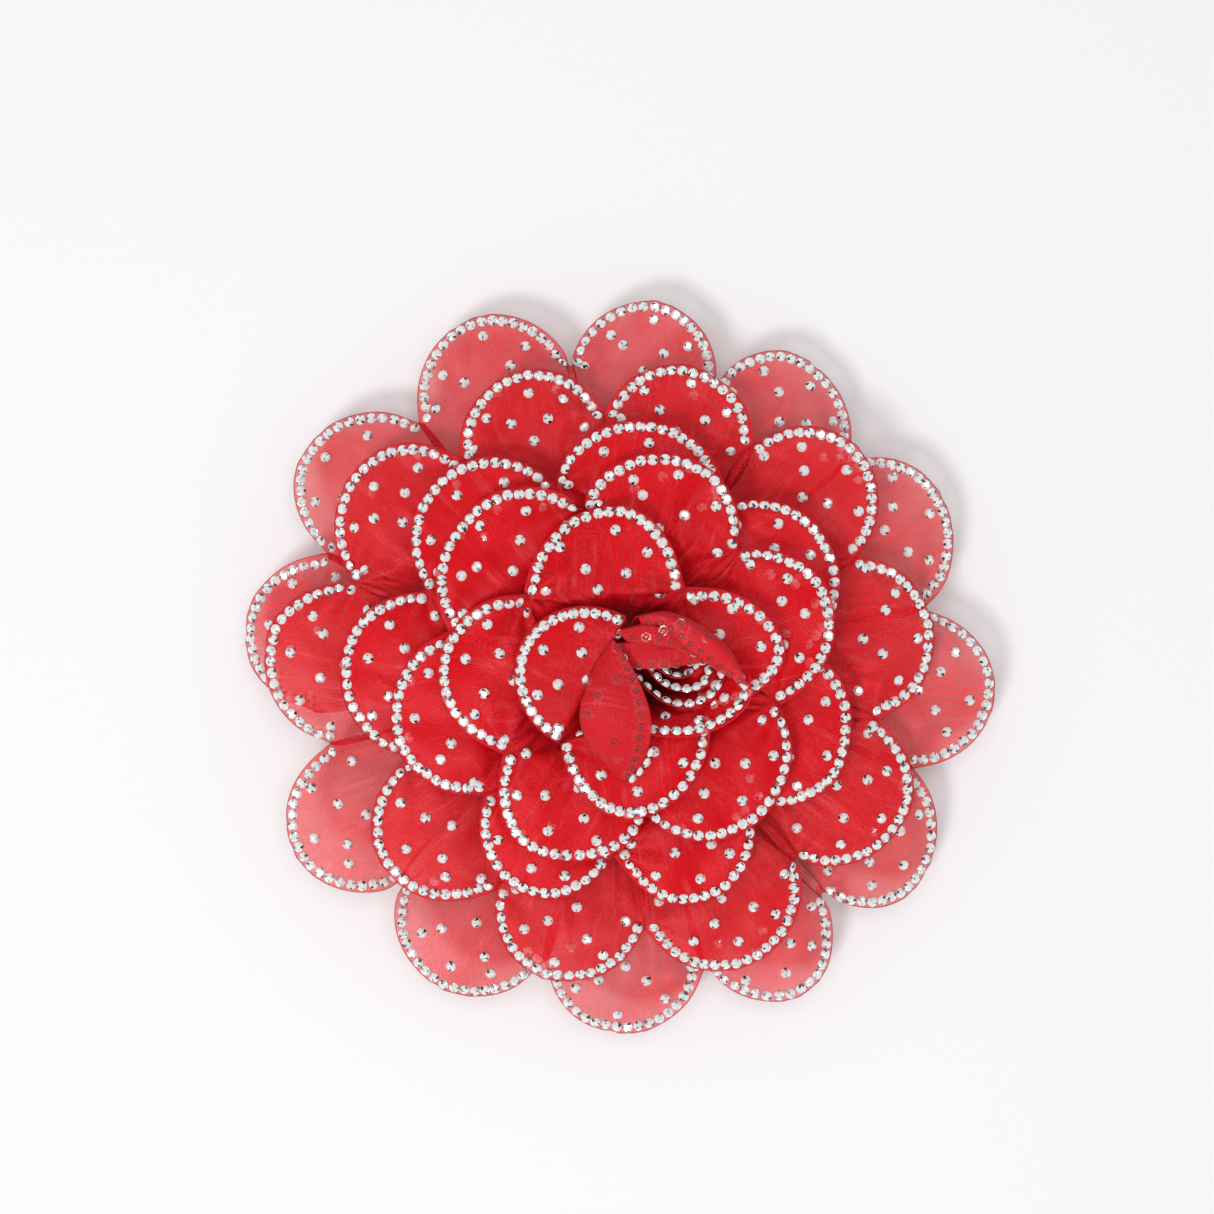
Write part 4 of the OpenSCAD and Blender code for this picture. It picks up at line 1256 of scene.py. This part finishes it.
# %% Steel
def steel(name, low, high, roughness, lines=5.0):
    """Plated steel: fine lines from rolling, rare scratches, and lighter worn edges where the
    surface is convex."""
    material, tree, shader = new_material(name)
    place = in_mm(tree)
    brushed = effect(tree, BRUSHED, place, Lines_per_mm=lines, Scratches=0.6)
    clouds = effect(tree, GRAIN, place, Fine_scale=0.9, Broad_scale=0.12)
    colour = ramp(tree, brushed["Lines"], (0.3, low), (0.7, high))
    convex = add(tree, "ShaderNodeNewGeometry").outputs["Pointiness"]
    worn = mapped(tree, convex, 0.52, 0.6)
    colour = blended(tree, sums(tree, "MULTIPLY", worn, 0.5), colour, (0.9, 0.88, 0.84, 1))
    colour = blended(tree, sums(tree, "MULTIPLY", clouds["Broad"], 0.3), colour, (0.52, 0.50, 0.47, 1))
    rough = sums(tree, "MULTIPLY_ADD", clouds["Fine"], 0.18, roughness)
    rough = sums(tree, "ADD", rough, sums(tree, "MULTIPLY", brushed["Scratch"], 0.3))
    put(tree, shader, {"Base Color": colour, "Metallic": 1.0, "Roughness": rough})
    bumped(tree, shader, brushed["Height"], 0.25, 0.05)
    return material


plated = steel("nickel plated steel", (0.60, 0.59, 0.57), (0.80, 0.79, 0.77), 0.16)
pin_steel = steel("polished pin steel", (0.66, 0.66, 0.66), (0.84, 0.84, 0.83), 0.08, 9.0)
spring_steel = steel("spring wire", (0.34, 0.34, 0.36), (0.58, 0.58, 0.6), 0.22, 7.0)


def softened(node, name, material, width=0.16):
    """A copy of a CAD node's mesh with its doubles merged and flat faces joined, and a live bevel
    on its sharp edges."""
    work = bmesh.new()
    work.from_mesh(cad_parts[node].data)
    bmesh.ops.remove_doubles(work, verts=work.verts, dist=1e-6)
    bmesh.ops.dissolve_limit(work, angle_limit=np.radians(1.0), verts=work.verts, edges=work.edges)
    mesh = bpy.data.meshes.new(name)
    work.to_mesh(mesh)
    work.free()
    mesh.polygons.foreach_set("use_smooth", np.full(len(mesh.polygons), True))
    mesh.set_sharp_from_angle(angle=np.radians(32))
    mesh.materials.append(material)
    piece = bpy.data.objects.new(name, mesh)
    scene.collection.objects.link(piece)
    bevel = piece.modifiers.new("stamped edge", "BEVEL")
    bevel.width, bevel.segments = width * MM, 2
    bevel.limit_method, bevel.angle_limit = "ANGLE", np.radians(40)
    bevel.harden_normals = True
    print(f"{name}: {len(mesh.polygons)} faces before its bevel")
    return piece


upper_jaw = softened("clip_fixed_jaw", "upper_jaw", plated)
lever_jaw = softened("clip_lever_jaw", "lever_jaw", plated)
rivet = softened("hinge_pin", "rivet_pin", pin_steel, 0.2)

# %% Spring
PIN_X, PIN_Z, COIL_R, TURNS, WIRE = -9.0, 6.4, 1.65, 5, 0.7
COIL_W = TURNS * (WIRE + 0.15)
t = np.linspace(0, TURNS - 0.5, 36 * TURNS)
coil = np.column_stack([PIN_X + COIL_R * np.sin(FULL_TURN * t), COIL_W * (t / TURNS - 0.5),
                        PIN_Z + COIL_R * np.cos(FULL_TURN * t)])
leg_up = np.linspace((PIN_X - 11, -COIL_W / 2, PIN_Z + COIL_R + 0.7),
                     (PIN_X - 4, -COIL_W / 2, PIN_Z + COIL_R + 0.2), 8)
leg_down = np.linspace((PIN_X - 4, COIL_W / 2 - 0.4, PIN_Z - COIL_R - 0.1),
                       (PIN_X - 9, COIL_W / 2 - 0.4, PIN_Z - COIL_R - 1.1), 8)
spring = tube("coil_spring", np.vstack([leg_up, coil, leg_down]), WIRE / 2, spring_steel)
print("coil_spring:", len(spring.data.vertices), "points")

# %% Glue
glue, tree, shader = new_material("hardened glue")
cloudy = effect(tree, GRAIN, in_mm(tree), Fine_scale=1.2, Broad_scale=0.3, Amount=0.8)
colour = ramp(tree, cloudy["Broad"], (0.35, (0.66, 0.58, 0.44)), (0.65, (0.86, 0.80, 0.68)))
put(tree, shader, {"Base Color": colour, "Subsurface Weight": 0.25, "Subsurface Scale": 0.5,
                   "Subsurface Radius": (0.002, 0.0012, 0.0008),
                   "Roughness": sums(tree, "MULTIPLY_ADD", cloudy["Fine"], 0.25, 0.12)})
bumped(tree, shader, cloudy["Height"], 0.3, 0.3)


def glue_bead(side):
    """A squeezed-out line of glue beside the jaw: a tube whose radius swells and thins by two sines
    and closes at its ends."""
    t = np.linspace(0, 1, 90)
    x = -20 + 42 * t
    path = np.column_stack([x, side * (6.72 + 0.16 * np.sin(x / 3.1 + side)),
                            10.12 + 0.05 * np.sin(x / 2.2)])
    swell = 0.56 + 0.1 * np.sin(x / 1.9 + 2 * side) + 0.06 * np.sin(x / 0.8)
    return tube(f"glue_bead_{side}", path, swell * np.clip(12 * t * (1 - t), 0.15, 1) ** 0.5, glue)


glue_beads = joined([glue_bead(-1), glue_bead(1)], "glue_beads_soft")
print("glue_beads_soft:", len(glue_beads.data.vertices), "points")

# %% [markdown]
# ## What each piece is, and what it rides on
# Everything that is sewn or glued together moves as one body, "flower". Only the lower jaw turns, on
# the body "lever". The spring's coils twist a little from one leg to the other, but here it rides
# on neither body: its placement is only baked into its mesh.

# %% The ribbon and its crystals
def settle(piece, body, slot, nodes=None):
    """A piece rides on a body, and the CAD nodes it stands for are hidden. slot is not used."""
    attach(piece, body)
    if nodes is not None:
        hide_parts(*nodes)


for i, turn in enumerate(turns):
    settle(turn, "flower", "organza", [f"petal_turn_{i + 1}"])
    settle(turn_crystals[i], "flower", "crystal", [f"rhinestones_turn_{i + 1}"])

# %% The bud
BUD_NODES = {"bud_open_petal": ["bud_outer_petal"], "bud_right_petal": ["bud_wrap"],
             "bud_leaf_petal": ["bud_core"]}
for name, petal in bud.items():
    settle(petal, "flower", "organza", BUD_NODES.get(name))
settle(bud_crystals, "flower", "crystal", ["rhinestones_bud"])
settle(glue_rings, "flower", "glue", [])
print(len(bud), "bud petals ride on the flower")

# %% Backing and clip
for disc, slot, node, radius in [(felt_disc, "felt", "felt_backing", FELT_R),
                                 (base_disc, "buckram", "sewing_disc", DISC_R)]:
    settle(disc, "flower", slot, [node])
for piece, body, slot, node in [
        (rim_stitches, "flower", "thread", "backing_stitches"),
        (sewing, "flower", "thread", "gathering_stitches"),
        (upper_jaw, "flower", "clip_steel", "clip_fixed_jaw"),
        (lever_jaw, "lever", "clip_steel", "clip_lever_jaw"),
        (rivet, "flower", "pin_steel", "hinge_pin"),
        (glue_beads, "flower", "glue", "glue_beads")]:
    settle(piece, body, slot, [node])
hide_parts("torsion_spring")
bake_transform(spring)

# %% Pieces and faces
shown = [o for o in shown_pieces() if o.type == "MESH"]
print("pieces:", len(shown), "faces:", sum(len(o.data.polygons) for o in shown))
